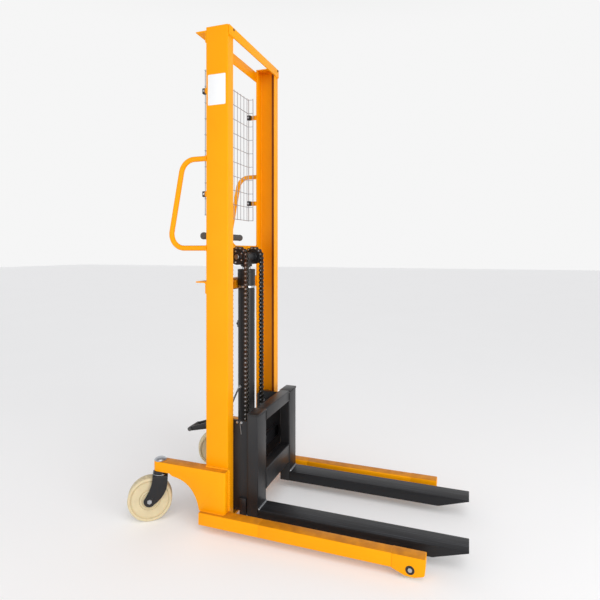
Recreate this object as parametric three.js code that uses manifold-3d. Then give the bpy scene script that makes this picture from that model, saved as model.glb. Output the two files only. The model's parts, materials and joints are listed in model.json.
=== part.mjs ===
// Hand pallet stacker: a push truck with a hand pump, a single mast of two channels and a
// chain-hung fork carriage. Millimetres, +X along the forks, +Y to the left, +Z up.
import * as THREE from 'three';
import { mergeVertices } from 'three/addons/utils/BufferGeometryUtils.js';
import Module from 'manifold-3d';

const wasm = await Module();
wasm.setup();

// ---- driving dimensions ----------------------------------------------------------------

const gap = 0.3; // between pieces that touch
const runClearance = 5; // between a moving piece and what it passes

const mastHeight = 2050;
const mastWidth = 540; // over the webs of the two channels
const channelDepth = 100;
const channelFlange = 50;
const webThickness = 6;
const flangeThickness = 8;
const channelFillet = 8;
const capThickness = 6;
const endInset = 4; // cross members stop this far inside the webs

const legWidth = 50;
const legHeight = 50;
const legClearance = 30; // floor to the underside of the leg
const legRear = -5;
const legFront = 880;
const noseLength = 120; // cast end that carries the load roller
const noseDrop = 18; // how far its cheeks reach below the leg
const cheekThickness = 5;

const rollerDiameter = 70;
const rollerWidth = 30;
const rollerAxleDiameter = 16;
const rollerSetback = 52; // leg front to roller centre

const bracketWidth = 50; // arm behind the mast
const bracketStep = 33; // the thinner part beside the mast
const bracketDepth = 41; // top face to the face the swivel bearing sits on
const bracketFront = 105;
const archCentreX = -148;
const archStart = 60; // flat underside ahead of the swivel
const archDip = 9; // the arch's crown lies this far below the underside
const swivelX = -215;

const casterDiameter = 180;
const casterWidth = 48;
const casterTrail = 42;
const casterAngle = 33.5; // both casters rest turned by this many degrees
const casterAxleDiameter = 16;
const forkPlate = 6;
const crownThickness = 6;
const crownLength = 62;
const crownClearance = 5.7; // wheel to crown plate
const bearingDiameter = 58;
const bearingHeight = 14;
const axleEyeRadius = 17;
const wheelHubRadius = 28;
const wheelDish = 4; // the side faces are sunk between hub and rim
const wheelRimDepth = 10;
const wheelEdge = 5;

const cylinderX = 53; // axis of cylinder, rod and chain wheels
const barrelDiameter = 76;
const barrelBore = 54;
const barrelTop = 963;
const headDiameter = 80;
const headTop = 1048;
const ringHeight = 10; // narrower ring at the head's foot
const rodDiameter = 40;
const rodFoot = 85;

const chainWheelHeight = 1105;
const chainPitchRadius = 39;
const chainDepth = 17;
const chainWidth = 20;
const chainSpacing = 160; // between the two chains
const wheelRim = 43;
const wheelFlange = 3;
const wheelShaftDiameter = 22;
const bossDiameter = 40;
const yokeFootHeight = 14;
const yokeWidth = 48;
const yokeDepth = 28;
const rearAnchorHeight = 222;

const basePlateThickness = 12;
const basePlateRear = -110;
const basePlateLap = 12; // each side of the pump block

const carriageBottom = 60;
const carriageTop = 430;
const sidePlateThickness = 12;
const sidePlateRear = 14;
const guideRollerDiameter = 74;
const guideRollerWidth = 30;
const guideRollerInset = 42; // roller centre to the end of its side plate
const guideAxleDiameter = 24;
const postX = 164;
const postDepth = 49;
const postTop = 465;
const crossbarHeight = 49;
const lowerBarBottom = 126;
const lowerBarHeight = 85;
const anchorBarX = 110;
const anchorBarDepth = 20;
const anchorBarBottom = 225;
const anchorBarHeight = 50;
const anchorLugWidth = 26;

const postLap = 11; // how far a post reaches past its side plate
const forkWidth = 88;
const forkTop = 80;
const forkThickness = 44;
const forkTip = 1020;
const forkTaper = 125;
const forkTipThickness = 5;

const topBarHeight = 40;
const topBarThickness = 6;
const angleSize = 50;
const angleThickness = 6;
const topAngleHeight = 2040;
const clampAngleHeight = 1005;
const rearPlateTop = 1157;
const rearPlateHeight = 77;
const rearPlateLap = 20; // onto each rear flange

const handleTube = 22;
const handleInset = 9; // tube centre inboard of the web's outer face
const handleTop = 1513;
const handleBottom = 1143;
const handleReachTop = 112;
const handleReachBottom = 196;
const handleRadiusTop = 38;
const handleRadiusBottom = 60;

const meshTop = 1900;
const meshRows = 10;
const meshRowPitch = 68.5;
const meshColumnPitch = 70;
const meshWire = 4;
const meshHalfWidth = 216;
const meshBack = -42;
const meshFront = -14;
const meshCorner = 8; // where the wires turn forward to the mast
const meshTabHeights = [1372, 1795];
const meshTabWidth = 22;

const pumpRear = -104;
const pumpWidth = 84;
const pumpTop = 175;
const plungerDiameter = 44;
const plungerHeight = 60;
const plungerX = -46;
const pivotX = -76;
const pivotZ = 332;
const pivotPin = 16;
const earThickness = 8;
const hubDiameter = 38;
const hubWidth = 34;
const leverDiameter = 27;
const gripX = -68;
const gripZ = 1197;
const gripDiameter = 32;
const gripWidth = 360;

const pedalX = -225;
const pedalZ = 290;
const pedalWidth = 84;
const pedalBar = 20;
const pedalArm = 8;
const pedalEye = 17;

const pipeDiameter = 8;
const pipeOffset = 14; // off the barrel's side
const pipeRootX = -30;
const pipeRootZ = 145;
const pipeKneeZ = 360;
const pipeTopX = 41;
const pipeTopZ = 517;

// ---- values worked out from them ---------------------------------------------------------

const halfMast = mastWidth / 2;
const flangeEdge = halfMast - channelFlange;
const legTop = legClearance + legHeight;
const swivelY = halfMast + bracketStep - bracketWidth / 2;
const crownBottom = casterDiameter + crownClearance;
const bracketUnderside = crownBottom + crownThickness + bearingHeight + gap;
const bracketTop = bracketUnderside + bracketDepth;
const archRadius = casterDiameter / 2 + casterTrail + 3;
const archCentreZ = bracketUnderside - archDip - archRadius;
const rollerX = legFront - rollerSetback;
const earInner = hubWidth / 2 + runClearance;
const earOuter = earInner + earThickness;
const sidePlateY = flangeEdge - runClearance - sidePlateThickness;
const forkOuter = sidePlateY + sidePlateThickness + postLap;
const forkInner = forkOuter - forkWidth;
const postFront = postX + postDepth;
const meshBottom = meshTop - (meshRows - 1) * meshRowPitch;
const chainInnerRadius = chainPitchRadius - chainDepth / 2;
const chainOuterRadius = chainPitchRadius + chainDepth / 2;
const anchorTop = anchorBarBottom + anchorBarHeight / 2;
const rodTop = headTop + 12;

// ---- materials -------------------------------------------------------------------------

const finish = (color, roughness, metalness) =>
  new THREE.MeshStandardMaterial({ color, roughness, metalness });
const orangePaint = finish(0xf9a000, 0.4, 0.1);
const blackPaint = finish(0x202022, 0.5, 0.1);
const nylon = finish(0xe0d2aa, 0.6, 0);
const zincPlate = finish(0xb8bbbe, 0.35, 0.9);
const chromePlate = finish(0xd0d2d4, 0.12, 1);
const chainSteel = finish(0x33332f, 0.45, 0.8);
const blackRubber = finish(0x181818, 0.85, 0);

// ---- helpers ---------------------------------------------------------------------------

const RIGHT = -1;
const LEFT = 1;
const SIDES = [['right', RIGHT], ['left', LEFT]];

function toSolid(geometry) {
  const bare = geometry.index ? geometry.toNonIndexed() : geometry.clone();
  bare.deleteAttribute('normal');
  bare.deleteAttribute('uv');
  const merged = mergeVertices(bare, 1e-4);
  return new wasm.Manifold(new wasm.Mesh({
    numProp: 3,
    vertProperties: new Float32Array(merged.attributes.position.array),
    triVerts: new Uint32Array(merged.index.array),
  }));
}

function toGeometry(solid) {
  const mesh = solid.getMesh();
  const geometry = new THREE.BufferGeometry();
  geometry.setAttribute('position', new THREE.BufferAttribute(new Float32Array(mesh.vertProperties), 3));
  geometry.setIndex(new THREE.BufferAttribute(new Uint32Array(mesh.triVerts), 1));
  geometry.computeVertexNormals();
  return geometry;
}

function join(...geometries) {
  const solids = geometries.map(toSolid);
  return toGeometry(solids.slice(1).reduce((sum, solid) => sum.add(solid), solids[0]));
}

function cut(geometry, ...tools) {
  return toGeometry(tools.reduce((rest, tool) => rest.subtract(toSolid(tool)), toSolid(geometry)));
}

function common(first, second) {
  return toGeometry(toSolid(first).intersect(toSolid(second)));
}

// A box between two corners, given as [low, high] in either order along each axis.
function box(x, y, z) {
  const size = [x, y, z].map(([a, b]) => Math.abs(b - a));
  const middle = [x, y, z].map(([a, b]) => (a + b) / 2);
  return new THREE.BoxGeometry(...size).translate(...middle);
}

function rodY(radius, x, z, [y0, y1], segments = 22) {
  return new THREE.CylinderGeometry(radius, radius, Math.abs(y1 - y0), segments)
    .translate(x, (y0 + y1) / 2, z);
}

function rodZ(radius, x, y, [z0, z1], segments = 28) {
  return new THREE.CylinderGeometry(radius, radius, z1 - z0, segments)
    .rotateX(Math.PI / 2)
    .translate(x, y, (z0 + z1) / 2);
}

// A straight round bar between two points.
function bar(radius, from, to, segments = 20) {
  const axis = new THREE.Vector3().subVectors(to, from);
  const turn = new THREE.Quaternion()
    .setFromUnitVectors(new THREE.Vector3(0, 1, 0), axis.clone().normalize());
  const middle = new THREE.Vector3().addVectors(from, to).multiplyScalar(0.5);
  return new THREE.CylinderGeometry(radius, radius, axis.length(), segments)
    .applyQuaternion(turn)
    .translate(middle.x, middle.y, middle.z);
}

function polygon(points) {
  return new THREE.Shape(points.map(([x, y]) => new THREE.Vector2(x, y)));
}

// A plan outline (x, y) raised from z0 to z1.
function raise(shape, [z0, z1], curveSegments = 10) {
  return new THREE.ExtrudeGeometry(shape, { depth: z1 - z0, bevelEnabled: false, curveSegments })
    .translate(0, 0, z0);
}

// A side outline (x, z) given its thickness between y0 and y1.
function thicken(shape, [y0, y1], curveSegments = 12) {
  return new THREE.ExtrudeGeometry(shape, {
    depth: Math.abs(y1 - y0), bevelEnabled: false, curveSegments,
  }).rotateX(Math.PI / 2).translate(0, Math.max(y0, y1), 0);
}

// A ring or disc turned about the Y axis from a closed (radius, y) profile.
function turned(profile, segments = 40) {
  return new THREE.LatheGeometry(profile.map(([r, y]) => new THREE.Vector2(r, y)), segments);
}

// A round tube along points whose corners are rounded with the given radii.
function bentTube(points, radii, diameter, halfSides = 6, steps = 28) {
  const path = new THREE.CurvePath();
  let start = points[0];
  for (let i = 1; i < points.length - 1; i++) {
    const into = new THREE.Vector3().subVectors(points[i - 1], points[i]).normalize();
    const out = new THREE.Vector3().subVectors(points[i + 1], points[i]).normalize();
    const reach = radii[i - 1] / Math.tan(into.angleTo(out) / 2);
    const arcStart = points[i].clone().addScaledVector(into, reach);
    const arcEnd = points[i].clone().addScaledVector(out, reach);
    path.add(new THREE.LineCurve3(start, arcStart));
    path.add(new THREE.QuadraticBezierCurve3(arcStart, points[i], arcEnd));
    start = arcEnd;
  }
  path.add(new THREE.LineCurve3(start, points[points.length - 1]));
  const section = new THREE.Shape().absarc(0, 0, diameter / 2, 0, 2 * Math.PI, false);
  return new THREE.ExtrudeGeometry(section, {
    steps, extrudePath: path, bevelEnabled: false, curveSegments: halfSides,
  });
}

function piece(name, geometry, material) {
  const mesh = new THREE.Mesh(geometry, material);
  mesh.name = name;
  return mesh;
}

// ---- mast ------------------------------------------------------------------------------

function upright(side) {
  const outline = new THREE.Shape();
  const web = side * (halfMast - webThickness);
  const lip = side * flangeEdge;
  const innerFront = channelDepth - flangeThickness;
  outline.moveTo(0, side * halfMast);
  outline.lineTo(channelDepth, side * halfMast);
  outline.lineTo(channelDepth, lip);
  outline.lineTo(innerFront, lip);
  outline.lineTo(innerFront, web - side * channelFillet);
  outline.quadraticCurveTo(innerFront, web, innerFront - channelFillet, web);
  outline.lineTo(flangeThickness + channelFillet, web);
  outline.quadraticCurveTo(flangeThickness, web, flangeThickness, web - side * channelFillet);
  outline.lineTo(flangeThickness, lip);
  outline.lineTo(0, lip);
  outline.closePath();
  const channel = raise(outline, [legClearance, mastHeight], 4);
  const overlap = 1;
  const cap = box([flangeThickness - overlap, innerFront + overlap], [lip, web + side * overlap],
    [mastHeight - capThickness, mastHeight]);
  return join(channel, cap);
}

function topFrontBar() {
  const rear = channelDepth + gap;
  return box([rear, rear + topBarThickness], [-halfMast + endInset, halfMast - endInset],
    [mastHeight - topBarHeight, mastHeight]);
}

// An angle across the rear flanges, its level leg pointing back from the top edge.
function rearAngle(top) {
  const front = -gap;
  const outline = polygon([
    [front, top], [front - angleSize, top], [front - angleSize, top - angleThickness],
    [front - angleThickness, top - angleThickness], [front - angleThickness, top - angleSize],
    [front, top - angleSize],
  ]);
  return thicken(outline, [-halfMast + endInset, halfMast - endInset]);
}

function rearPlate() {
  const reach = flangeEdge + rearPlateLap;
  return box([-gap - angleThickness, -gap], [-reach, reach],
    [rearPlateTop - rearPlateHeight, rearPlateTop]);
}

function basePlate() {
  const height = [legClearance, legClearance + basePlateThickness];
  const reach = flangeEdge - gap;
  const tongue = pumpWidth / 2 + basePlateLap;
  return join(
    box([0, channelDepth], [-reach, reach], height),
    box([basePlateRear, 1], [-tongue, tongue], height));
}

function handle(side) {
  const y = side * (halfMast - handleInset);
  const point = (x, z) => new THREE.Vector3(x, y, z);
  return bentTube(
    [point(-gap, handleTop), point(-handleReachTop, handleTop),
      point(-handleReachBottom, handleBottom), point(-gap, handleBottom)],
    [handleRadiusTop, handleRadiusBottom], handleTube);
}

function meshGuard() {
  const inner = meshHalfWidth - meshWire;
  const back = meshBack + meshWire;
  const innerCorner = meshCorner - 2.5;
  const plan = polygon([
    [meshFront, -meshHalfWidth], [meshBack + meshCorner, -meshHalfWidth],
    [meshBack, -meshHalfWidth + meshCorner], [meshBack, meshHalfWidth - meshCorner],
    [meshBack + meshCorner, meshHalfWidth], [meshFront, meshHalfWidth], [meshFront, inner],
    [back + innerCorner, inner], [back, inner - innerCorner],
    [back, -inner + innerCorner], [back + innerCorner, -inner], [meshFront, -inner],
  ]);
  const parts = [];
  for (let row = 0; row < meshRows; row++) {
    const z = meshBottom + row * meshRowPitch;
    parts.push(raise(plan, [z - meshWire / 2, z + meshWire / 2]));
  }
  const height = [meshBottom - meshWire / 2, meshTop + meshWire / 2];
  const columns = Math.round((inner - meshCorner) / meshColumnPitch);
  for (let column = 0; column < columns; column++) {
    const y = (column + 0.5) * meshColumnPitch;
    for (const side of [RIGHT, LEFT]) {
      const span = [side * y - meshWire / 2, side * y + meshWire / 2];
      parts.push(box([meshBack, back], span, height));
    }
  }
  for (const side of [RIGHT, LEFT]) {
    const edge = [side * inner, side * meshHalfWidth];
    parts.push(box([meshFront - meshWire, meshFront], edge, height));
    for (const z of meshTabHeights) {
      const tab = [side * inner, side * (flangeEdge + meshTabWidth)];
      parts.push(box([meshFront - meshWire, -gap], tab, [z - meshTabWidth / 2, z + meshTabWidth / 2]));
    }
  }
  return join(...parts);
}

// ---- legs, casters and rollers ------------------------------------------------------------

function leg(side) {
  const outer = halfMast + gap + legWidth;
  const span = [side * (halfMast + gap), side * outer];
  const noseRear = legFront - noseLength;
  const outline = new THREE.Shape();
  outline.moveTo(legRear, legClearance);
  outline.lineTo(noseRear, legClearance);
  outline.lineTo(rollerX - 18, legClearance - noseDrop);
  outline.lineTo(rollerX + 18, legClearance - noseDrop);
  outline.quadraticCurveTo(legFront - 3, legClearance - noseDrop / 2, legFront, legTop - 20);
  outline.lineTo(legFront, legTop);
  outline.lineTo(legRear, legTop);
  outline.closePath();
  const inside = [side * (halfMast + gap + cheekThickness), side * (outer - cheekThickness)];
  const reach = rollerDiameter / 2 + runClearance;
  const rollerZ = rollerDiameter / 2;
  const pocket = box([rollerX - reach, rollerX + reach], inside, [-1, rollerZ + reach - 0.5]);
  const axle = rodY(rollerAxleDiameter / 2, rollerX, rollerZ, span, 20);
  return join(cut(thicken(outline, span), pocket), axle);
}

function loadRoller() {
  const bore = rollerAxleDiameter / 2 + 0.5;
  const rim = rollerDiameter / 2;
  const half = rollerWidth / 2;
  return turned([[bore, -half], [rim - 2, -half], [rim, -half + 2], [rim, half - 2],
    [rim - 2, half], [bore, half], [bore, -half]], 30);
}

function casterBracket(side) {
  const inner = side * (halfMast + gap);
  const rearInner = side * (swivelY - bracketWidth / 2);
  const outer = side * (swivelY + bracketWidth / 2);
  const elevation = new THREE.Shape();
  const rear = swivelX - bracketWidth / 2;
  const archEnd = archCentreX + Math.sqrt(archRadius ** 2 - (legTop + gap - archCentreZ) ** 2);
  elevation.moveTo(rear, bracketUnderside);
  elevation.lineTo(swivelX + archStart, bracketUnderside);
  elevation.lineTo(archCentreX + 6, archCentreZ + archRadius);
  elevation.quadraticCurveTo(archEnd - 20, archCentreZ + archRadius - 8, archEnd, legTop + gap);
  elevation.lineTo(bracketFront, legTop + gap);
  elevation.lineTo(bracketFront, bracketTop);
  elevation.lineTo(rear, bracketTop);
  elevation.closePath();
  const plan = new THREE.Shape();
  plan.moveTo(-gap, rearInner);
  plan.lineTo(-gap, inner);
  plan.lineTo(bracketFront, inner);
  plan.lineTo(bracketFront, outer);
  plan.lineTo(swivelX, outer);
  plan.absarc(swivelX, side * swivelY, bracketWidth / 2, side * Math.PI / 2,
    side * 1.5 * Math.PI, side < 0);
  plan.closePath();
  const height = [legTop - 1, bracketTop + 1];
  return common(thicken(elevation, [rearInner, outer]), raise(plan, height, 20));
}

// The swivelling fork, about its own swivel axis, with its wheel trailing along -X.
function casterFork() {
  const wheelZ = casterDiameter / 2;
  const crownTop = crownBottom + crownThickness;
  const cheekIn = casterWidth / 2 + runClearance;
  const cheekOut = cheekIn + forkPlate;
  const eye = axleEyeRadius;
  const parts = [
    rodZ(bearingDiameter / 2, 0, 0, [crownTop - 1, bracketUnderside - gap]),
    box([-crownLength / 2, crownLength / 2], [-cheekOut, cheekOut], [crownBottom, crownTop]),
    rodY(casterAxleDiameter / 2, -casterTrail, wheelZ, [-cheekOut - 5, cheekOut + 5], 20),
  ];
  const cheek = new THREE.Shape();
  cheek.moveTo(-crownLength / 2, crownTop);
  cheek.quadraticCurveTo(-casterTrail - eye - 2, wheelZ + 50, -casterTrail - eye, wheelZ);
  cheek.absarc(-casterTrail, wheelZ, eye, Math.PI, 2 * Math.PI, false);
  cheek.quadraticCurveTo(-4, wheelZ + 45, crownLength / 2, crownTop);
  cheek.closePath();
  parts.push(thicken(cheek, [-cheekOut, -cheekIn]));
  parts.push(thicken(cheek, [cheekIn, cheekOut]));
  return join(...parts);
}

function casterWheel() {
  const bore = casterAxleDiameter / 2 + 0.5;
  const rim = casterDiameter / 2;
  const half = casterWidth / 2;
  const floor = half - wheelDish;
  const hub = wheelHubRadius;
  const lip = rim - wheelRimDepth;
  return turned([
    [bore, -half], [hub, -half], [hub + 2, -floor], [lip - 2, -floor], [lip, -half],
    [rim - wheelEdge, -half], [rim, -half + wheelEdge],
    [rim, half - wheelEdge], [rim - wheelEdge, half],
    [lip, half], [lip - 2, floor], [hub + 2, floor], [hub, half], [bore, half], [bore, -half],
  ], 40);
}

// ---- lift cylinder, pump and chains ---------------------------------------------------------

function barrel() {
  const bottom = legClearance + basePlateThickness + gap;
  const body = rodZ(barrelDiameter / 2, cylinderX, 0, [bottom, barrelTop]);
  return cut(body, rodZ(barrelBore / 2, cylinderX, 0, [rodFoot - runClearance, barrelTop + 1]));
}

function cylinderHead() {
  const bottom = barrelTop + gap;
  const body = join(
    rodZ(headDiameter / 2 - 1.5, cylinderX, 0, [bottom, bottom + ringHeight + 1]),
    rodZ(headDiameter / 2, cylinderX, 0, [bottom + ringHeight, headTop]));
  return cut(body, rodZ(rodDiameter / 2 + 1, cylinderX, 0, [bottom - 1, headTop + 1]));
}

function pistonRod() {
  return rodZ(rodDiameter / 2, cylinderX, 0, [rodFoot, rodTop], 32);
}

function wheelYoke() {
  const foot = rodTop + gap;
  const boss = chainSpacing / 2 - chainWidth / 2 - wheelFlange - 4;
  const end = chainSpacing / 2 + chainWidth / 2 + wheelFlange + 8;
  return join(
    rodZ(rodDiameter / 2 + 6, cylinderX, 0, [foot, foot + yokeFootHeight], 32),
    box([cylinderX - yokeDepth / 2, cylinderX + yokeDepth / 2], [-yokeWidth / 2, yokeWidth / 2],
      [foot + yokeFootHeight - 1, chainWheelHeight]),
    rodY(bossDiameter / 2, cylinderX, chainWheelHeight, [-boss, boss]),
    rodY(wheelShaftDiameter / 2, cylinderX, chainWheelHeight, [-end, end], 24));
}

function chainWheel() {
  const bore = wheelShaftDiameter / 2 + 0.5;
  const groove = chainWidth / 2 + 1;
  const half = groove + wheelFlange;
  const root = chainInnerRadius - 1;
  return turned([[bore, -half], [wheelRim, -half], [wheelRim, -groove], [root, -groove],
    [root, groove], [wheelRim, groove], [wheelRim, half], [bore, half], [bore, -half]], 30);
}

function chainBend(y) {
  const arch = new THREE.Shape();
  const lowest = chainWheelHeight + gap;
  arch.moveTo(cylinderX + chainOuterRadius, lowest);
  arch.absarc(cylinderX, lowest, chainOuterRadius, 0, Math.PI, false);
  arch.lineTo(cylinderX - chainInnerRadius, lowest);
  arch.absarc(cylinderX, lowest, chainInnerRadius, Math.PI, 0, true);
  arch.closePath();
  return thicken(arch, [y - chainWidth / 2, y + chainWidth / 2], 20);
}

function chainStrand(x, y, bottom) {
  return box([x - chainDepth / 2, x + chainDepth / 2], [y - chainWidth / 2, y + chainWidth / 2],
    [bottom, chainWheelHeight]);
}

function pumpBody() {
  const bottom = legClearance + basePlateThickness + gap;
  const front = cylinderX - barrelDiameter / 2 - gap;
  const pinEnd = earOuter + gap + pedalArm + 3;
  const ear = polygon([[pumpRear + 4, pumpTop - 2], [plungerX + 22, pumpTop - 2],
    [pivotX + 20, pivotZ + 12], [pivotX + 12, pivotZ + 20], [pivotX - 12, pivotZ + 20],
    [pivotX - 20, pivotZ + 12]]);
  return join(
    box([pumpRear, front], [-pumpWidth / 2, pumpWidth / 2], [bottom, pumpTop]),
    rodZ(plungerDiameter / 2, plungerX, 0, [pumpTop - 1, pumpTop + plungerHeight], 28),
    thicken(ear, [-earOuter, -earInner]),
    thicken(ear, [earInner, earOuter]),
    rodY(pivotPin / 2, pivotX, pivotZ, [-pinEnd, pinEnd], 20));
}

// The lever turns on the pump's pin; its grip stands across the top.
function pumpHandle() {
  const hub = cut(rodY(hubDiameter / 2, pivotX, pivotZ, [-hubWidth / 2, hubWidth / 2]),
    rodY(pivotPin / 2 + 0.5, pivotX, pivotZ, [-hubWidth, hubWidth], 20));
  const foot = new THREE.Vector3(pivotX, 0, pivotZ + pivotPin / 2 + 4);
  const top = new THREE.Vector3(gripX, 0, gripZ);
  return join(hub, bar(leverDiameter / 2, foot, top),
    rodY(gripDiameter / 2, gripX, gripZ, [-gripWidth / 2, gripWidth / 2]));
}

// The pedal's two arms hang on the lever's pin, outside the pump's ears.
function footPedal() {
  const armIn = earOuter + gap;
  const armOut = armIn + pedalArm;
  const arm = polygon([[pivotX, pivotZ - pedalEye], [pivotX + 12, pivotZ - 12],
    [pivotX + pedalEye, pivotZ], [pivotX + 12, pivotZ + 12], [pivotX, pivotZ + pedalEye],
    [pivotX - 8, pivotZ + 15], [pedalX - 2, pedalZ + 8.5], [pedalX - 7, pedalZ],
    [pedalX - 2, pedalZ - 8.5], [pivotX - 4, pivotZ - pedalEye + 0.5]]);
  const eyes = rodY(pivotPin / 2 + gap, pivotX, pivotZ, [-armOut - 1, armOut + 1], 20);
  return join(
    cut(thicken(arm, [-armOut, -armIn]), eyes),
    cut(thicken(arm, [armIn, armOut]), eyes),
    rodY(pedalBar / 2, pedalX, pedalZ, [-pedalWidth / 2, pedalWidth / 2], 20));
}

// A thin oil line from the pump block's side, leaning forward to a union on the barrel.
function oilPipe() {
  const y = -barrelDiameter / 2 - pipeOffset;
  const seat = cylinderX - pipeTopX - pipeDiameter / 2;
  const unionY = -Math.sqrt((barrelDiameter / 2) ** 2 - seat ** 2) - gap;
  return bentTube(
    [new THREE.Vector3(pipeRootX, -pumpWidth / 2 - gap, pipeRootZ),
      new THREE.Vector3(pipeRootX, y, pipeRootZ), new THREE.Vector3(pipeRootX, y, pipeKneeZ),
      new THREE.Vector3(pipeTopX, y, pipeTopZ), new THREE.Vector3(pipeTopX, unionY, pipeTopZ)],
    [5, 30, 5], pipeDiameter, 4, 32);
}

// ---- carriage and forks -------------------------------------------------------------------

function sidePlate(side) {
  const inner = side * sidePlateY;
  const outer = side * (sidePlateY + sidePlateThickness);
  const rollerIn = side * (flangeEdge + 2);
  const rollerOut = side * (flangeEdge + 2 + guideRollerWidth);
  const rollerX0 = channelDepth / 2;
  const plate = polygon([[sidePlateRear, carriageBottom + 20], [sidePlateRear + 20, carriageBottom],
    [postX - gap, carriageBottom], [postX - gap, carriageTop], [sidePlateRear + 20, carriageTop],
    [sidePlateRear, carriageTop - 20]]);
  const parts = [thicken(plate, [inner, outer])];
  for (const z of [carriageBottom + guideRollerInset + 5, carriageTop - guideRollerInset]) {
    parts.push(rodY(guideAxleDiameter / 2, rollerX0, z, [outer - side, rollerIn + side], 20));
    parts.push(rodY(guideRollerDiameter / 2, rollerX0, z, [rollerIn, rollerOut], 24));
  }
  return join(...parts);
}

function forkPost(side) {
  return box([postX, postFront], [side * forkInner, side * forkOuter],
    [forkTop - forkThickness, postTop]);
}

function crossbar(bottom, height) {
  return box([postX, postFront], [-forkInner + gap, forkInner - gap], [bottom, bottom + height]);
}

function anchorBar() {
  const reach = sidePlateY - gap;
  const barTop = anchorBarBottom + anchorBarHeight;
  const lugRear = cylinderX + chainInnerRadius;
  const depth = [anchorBarX, anchorBarX + anchorBarDepth];
  const parts = [box(depth, [-reach, reach], [anchorBarBottom, barTop])];
  for (const side of [RIGHT, LEFT]) {
    const y = side * chainSpacing / 2;
    parts.push(box([lugRear, anchorBarX + 1], [y - anchorLugWidth / 2, y + anchorLugWidth / 2],
      [anchorBarBottom, anchorTop - gap]));
  }
  return join(...parts);
}

function fork(side) {
  const heel = postFront + gap;
  const outline = polygon([[heel, forkTop - forkThickness], [forkTip - forkTaper, forkTop - forkThickness],
    [forkTip, forkTop - forkTipThickness], [forkTip, forkTop], [heel, forkTop]]);
  return thicken(outline, [side * forkInner, side * forkOuter]);
}

// ---- assembly --------------------------------------------------------------------------

const truck = new THREE.Group();
const frame = new THREE.Group();
const piston = new THREE.Group();
const carriage = new THREE.Group();
truck.add(frame, piston, carriage);

const frontStrandX = cylinderX + chainPitchRadius;
const rearStrandX = cylinderX - chainPitchRadius;

for (const [name, side] of SIDES) {
  const chainY = side * chainSpacing / 2;
  frame.add(
    piece(`${name}_upright`, upright(side), orangePaint),
    piece(`${name}_leg`, leg(side), orangePaint),
    piece(`${name}_caster_bracket`, casterBracket(side), orangePaint),
    piece(`${name}_handle`, handle(side), orangePaint),
    piece(`${name}_rear_chain`, chainStrand(rearStrandX, chainY, rearAnchorHeight), chainSteel));

  const roller = piece(`${name}_load_roller`, loadRoller(), nylon);
  roller.position.set(rollerX, side * (halfMast + gap + legWidth / 2), rollerDiameter / 2);

  const caster = new THREE.Group();
  caster.position.set(swivelX, side * swivelY, 0);
  caster.rotation.z = THREE.MathUtils.degToRad(casterAngle);
  const wheel = piece(`${name}_caster_wheel`, casterWheel(), nylon);
  wheel.position.set(-casterTrail, 0, casterDiameter / 2);
  caster.add(piece(`${name}_caster_fork`, casterFork(), blackPaint), wheel);
  truck.add(roller, caster);

  const chainPulley = piece(`${name}_chain_wheel`, chainWheel(), blackPaint);
  chainPulley.position.set(cylinderX, chainY, chainWheelHeight);
  piston.add(chainPulley, piece(`${name}_chain_bend`, chainBend(chainY), chainSteel));

  carriage.add(
    piece(`${name}_side_plate`, sidePlate(side), blackPaint),
    piece(`${name}_fork_post`, forkPost(side), blackPaint),
    piece(`${name}_fork`, fork(side), blackPaint),
    piece(`${name}_front_chain`, chainStrand(frontStrandX, chainY, anchorTop), chainSteel));
}

frame.add(
  piece('top_front_bar', topFrontBar(), orangePaint),
  piece('top_rear_angle', rearAngle(topAngleHeight), orangePaint),
  piece('upper_rear_plate', rearPlate(), orangePaint),
  piece('cylinder_clamp_angle', rearAngle(clampAngleHeight), orangePaint),
  piece('base_plate', basePlate(), orangePaint),
  piece('mesh_guard', meshGuard(), zincPlate),
  piece('cylinder_barrel', barrel(), blackPaint),
  piece('cylinder_head', cylinderHead(), blackPaint),
  piece('pump_body', pumpBody(), blackPaint),
  piece('foot_pedal', footPedal(), blackPaint),
  piece('oil_pipe', oilPipe(), zincPlate));
piston.add(
  piece('piston_rod', pistonRod(), chromePlate),
  piece('wheel_yoke', wheelYoke(), blackPaint));
carriage.add(
  piece('upper_crossbar', crossbar(postTop - crossbarHeight, crossbarHeight), blackPaint),
  piece('lower_crossbar', crossbar(lowerBarBottom, lowerBarHeight), blackPaint),
  piece('chain_anchor_bar', anchorBar(), blackPaint));
truck.add(piece('pump_handle', pumpHandle(), blackRubber));

// The origin is the middle of the whole truck's footprint, on the floor.
const footprint = new THREE.Box3().setFromObject(truck, true).getCenter(new THREE.Vector3());
truck.position.set(-footprint.x, -footprint.y, 0);

export default truck;
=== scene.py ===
import json
import math

import bmesh
import bpy
from bpy.props import FloatProperty, FloatVectorProperty, IntProperty, PointerProperty
from mathutils import Matrix, Vector


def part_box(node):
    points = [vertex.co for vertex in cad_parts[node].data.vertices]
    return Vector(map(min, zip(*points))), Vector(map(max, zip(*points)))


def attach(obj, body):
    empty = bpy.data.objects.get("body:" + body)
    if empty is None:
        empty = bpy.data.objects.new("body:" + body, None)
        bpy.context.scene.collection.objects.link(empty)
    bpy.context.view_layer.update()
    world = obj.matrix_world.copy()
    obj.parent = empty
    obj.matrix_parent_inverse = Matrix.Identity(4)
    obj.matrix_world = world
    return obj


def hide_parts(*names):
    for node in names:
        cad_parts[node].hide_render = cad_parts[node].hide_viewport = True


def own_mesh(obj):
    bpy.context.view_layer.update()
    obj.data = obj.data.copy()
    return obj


bl_info = {
    "name": "Hand Pallet Stacker",
    "version": (1, 0, 0),
    "blender": (4, 5, 0),
    "location": "3D View > Sidebar > Stacker",
    "description": "Builds the visible pieces of a hand pallet stacker round its packed frame",
    "category": "Add Mesh",
}

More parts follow.
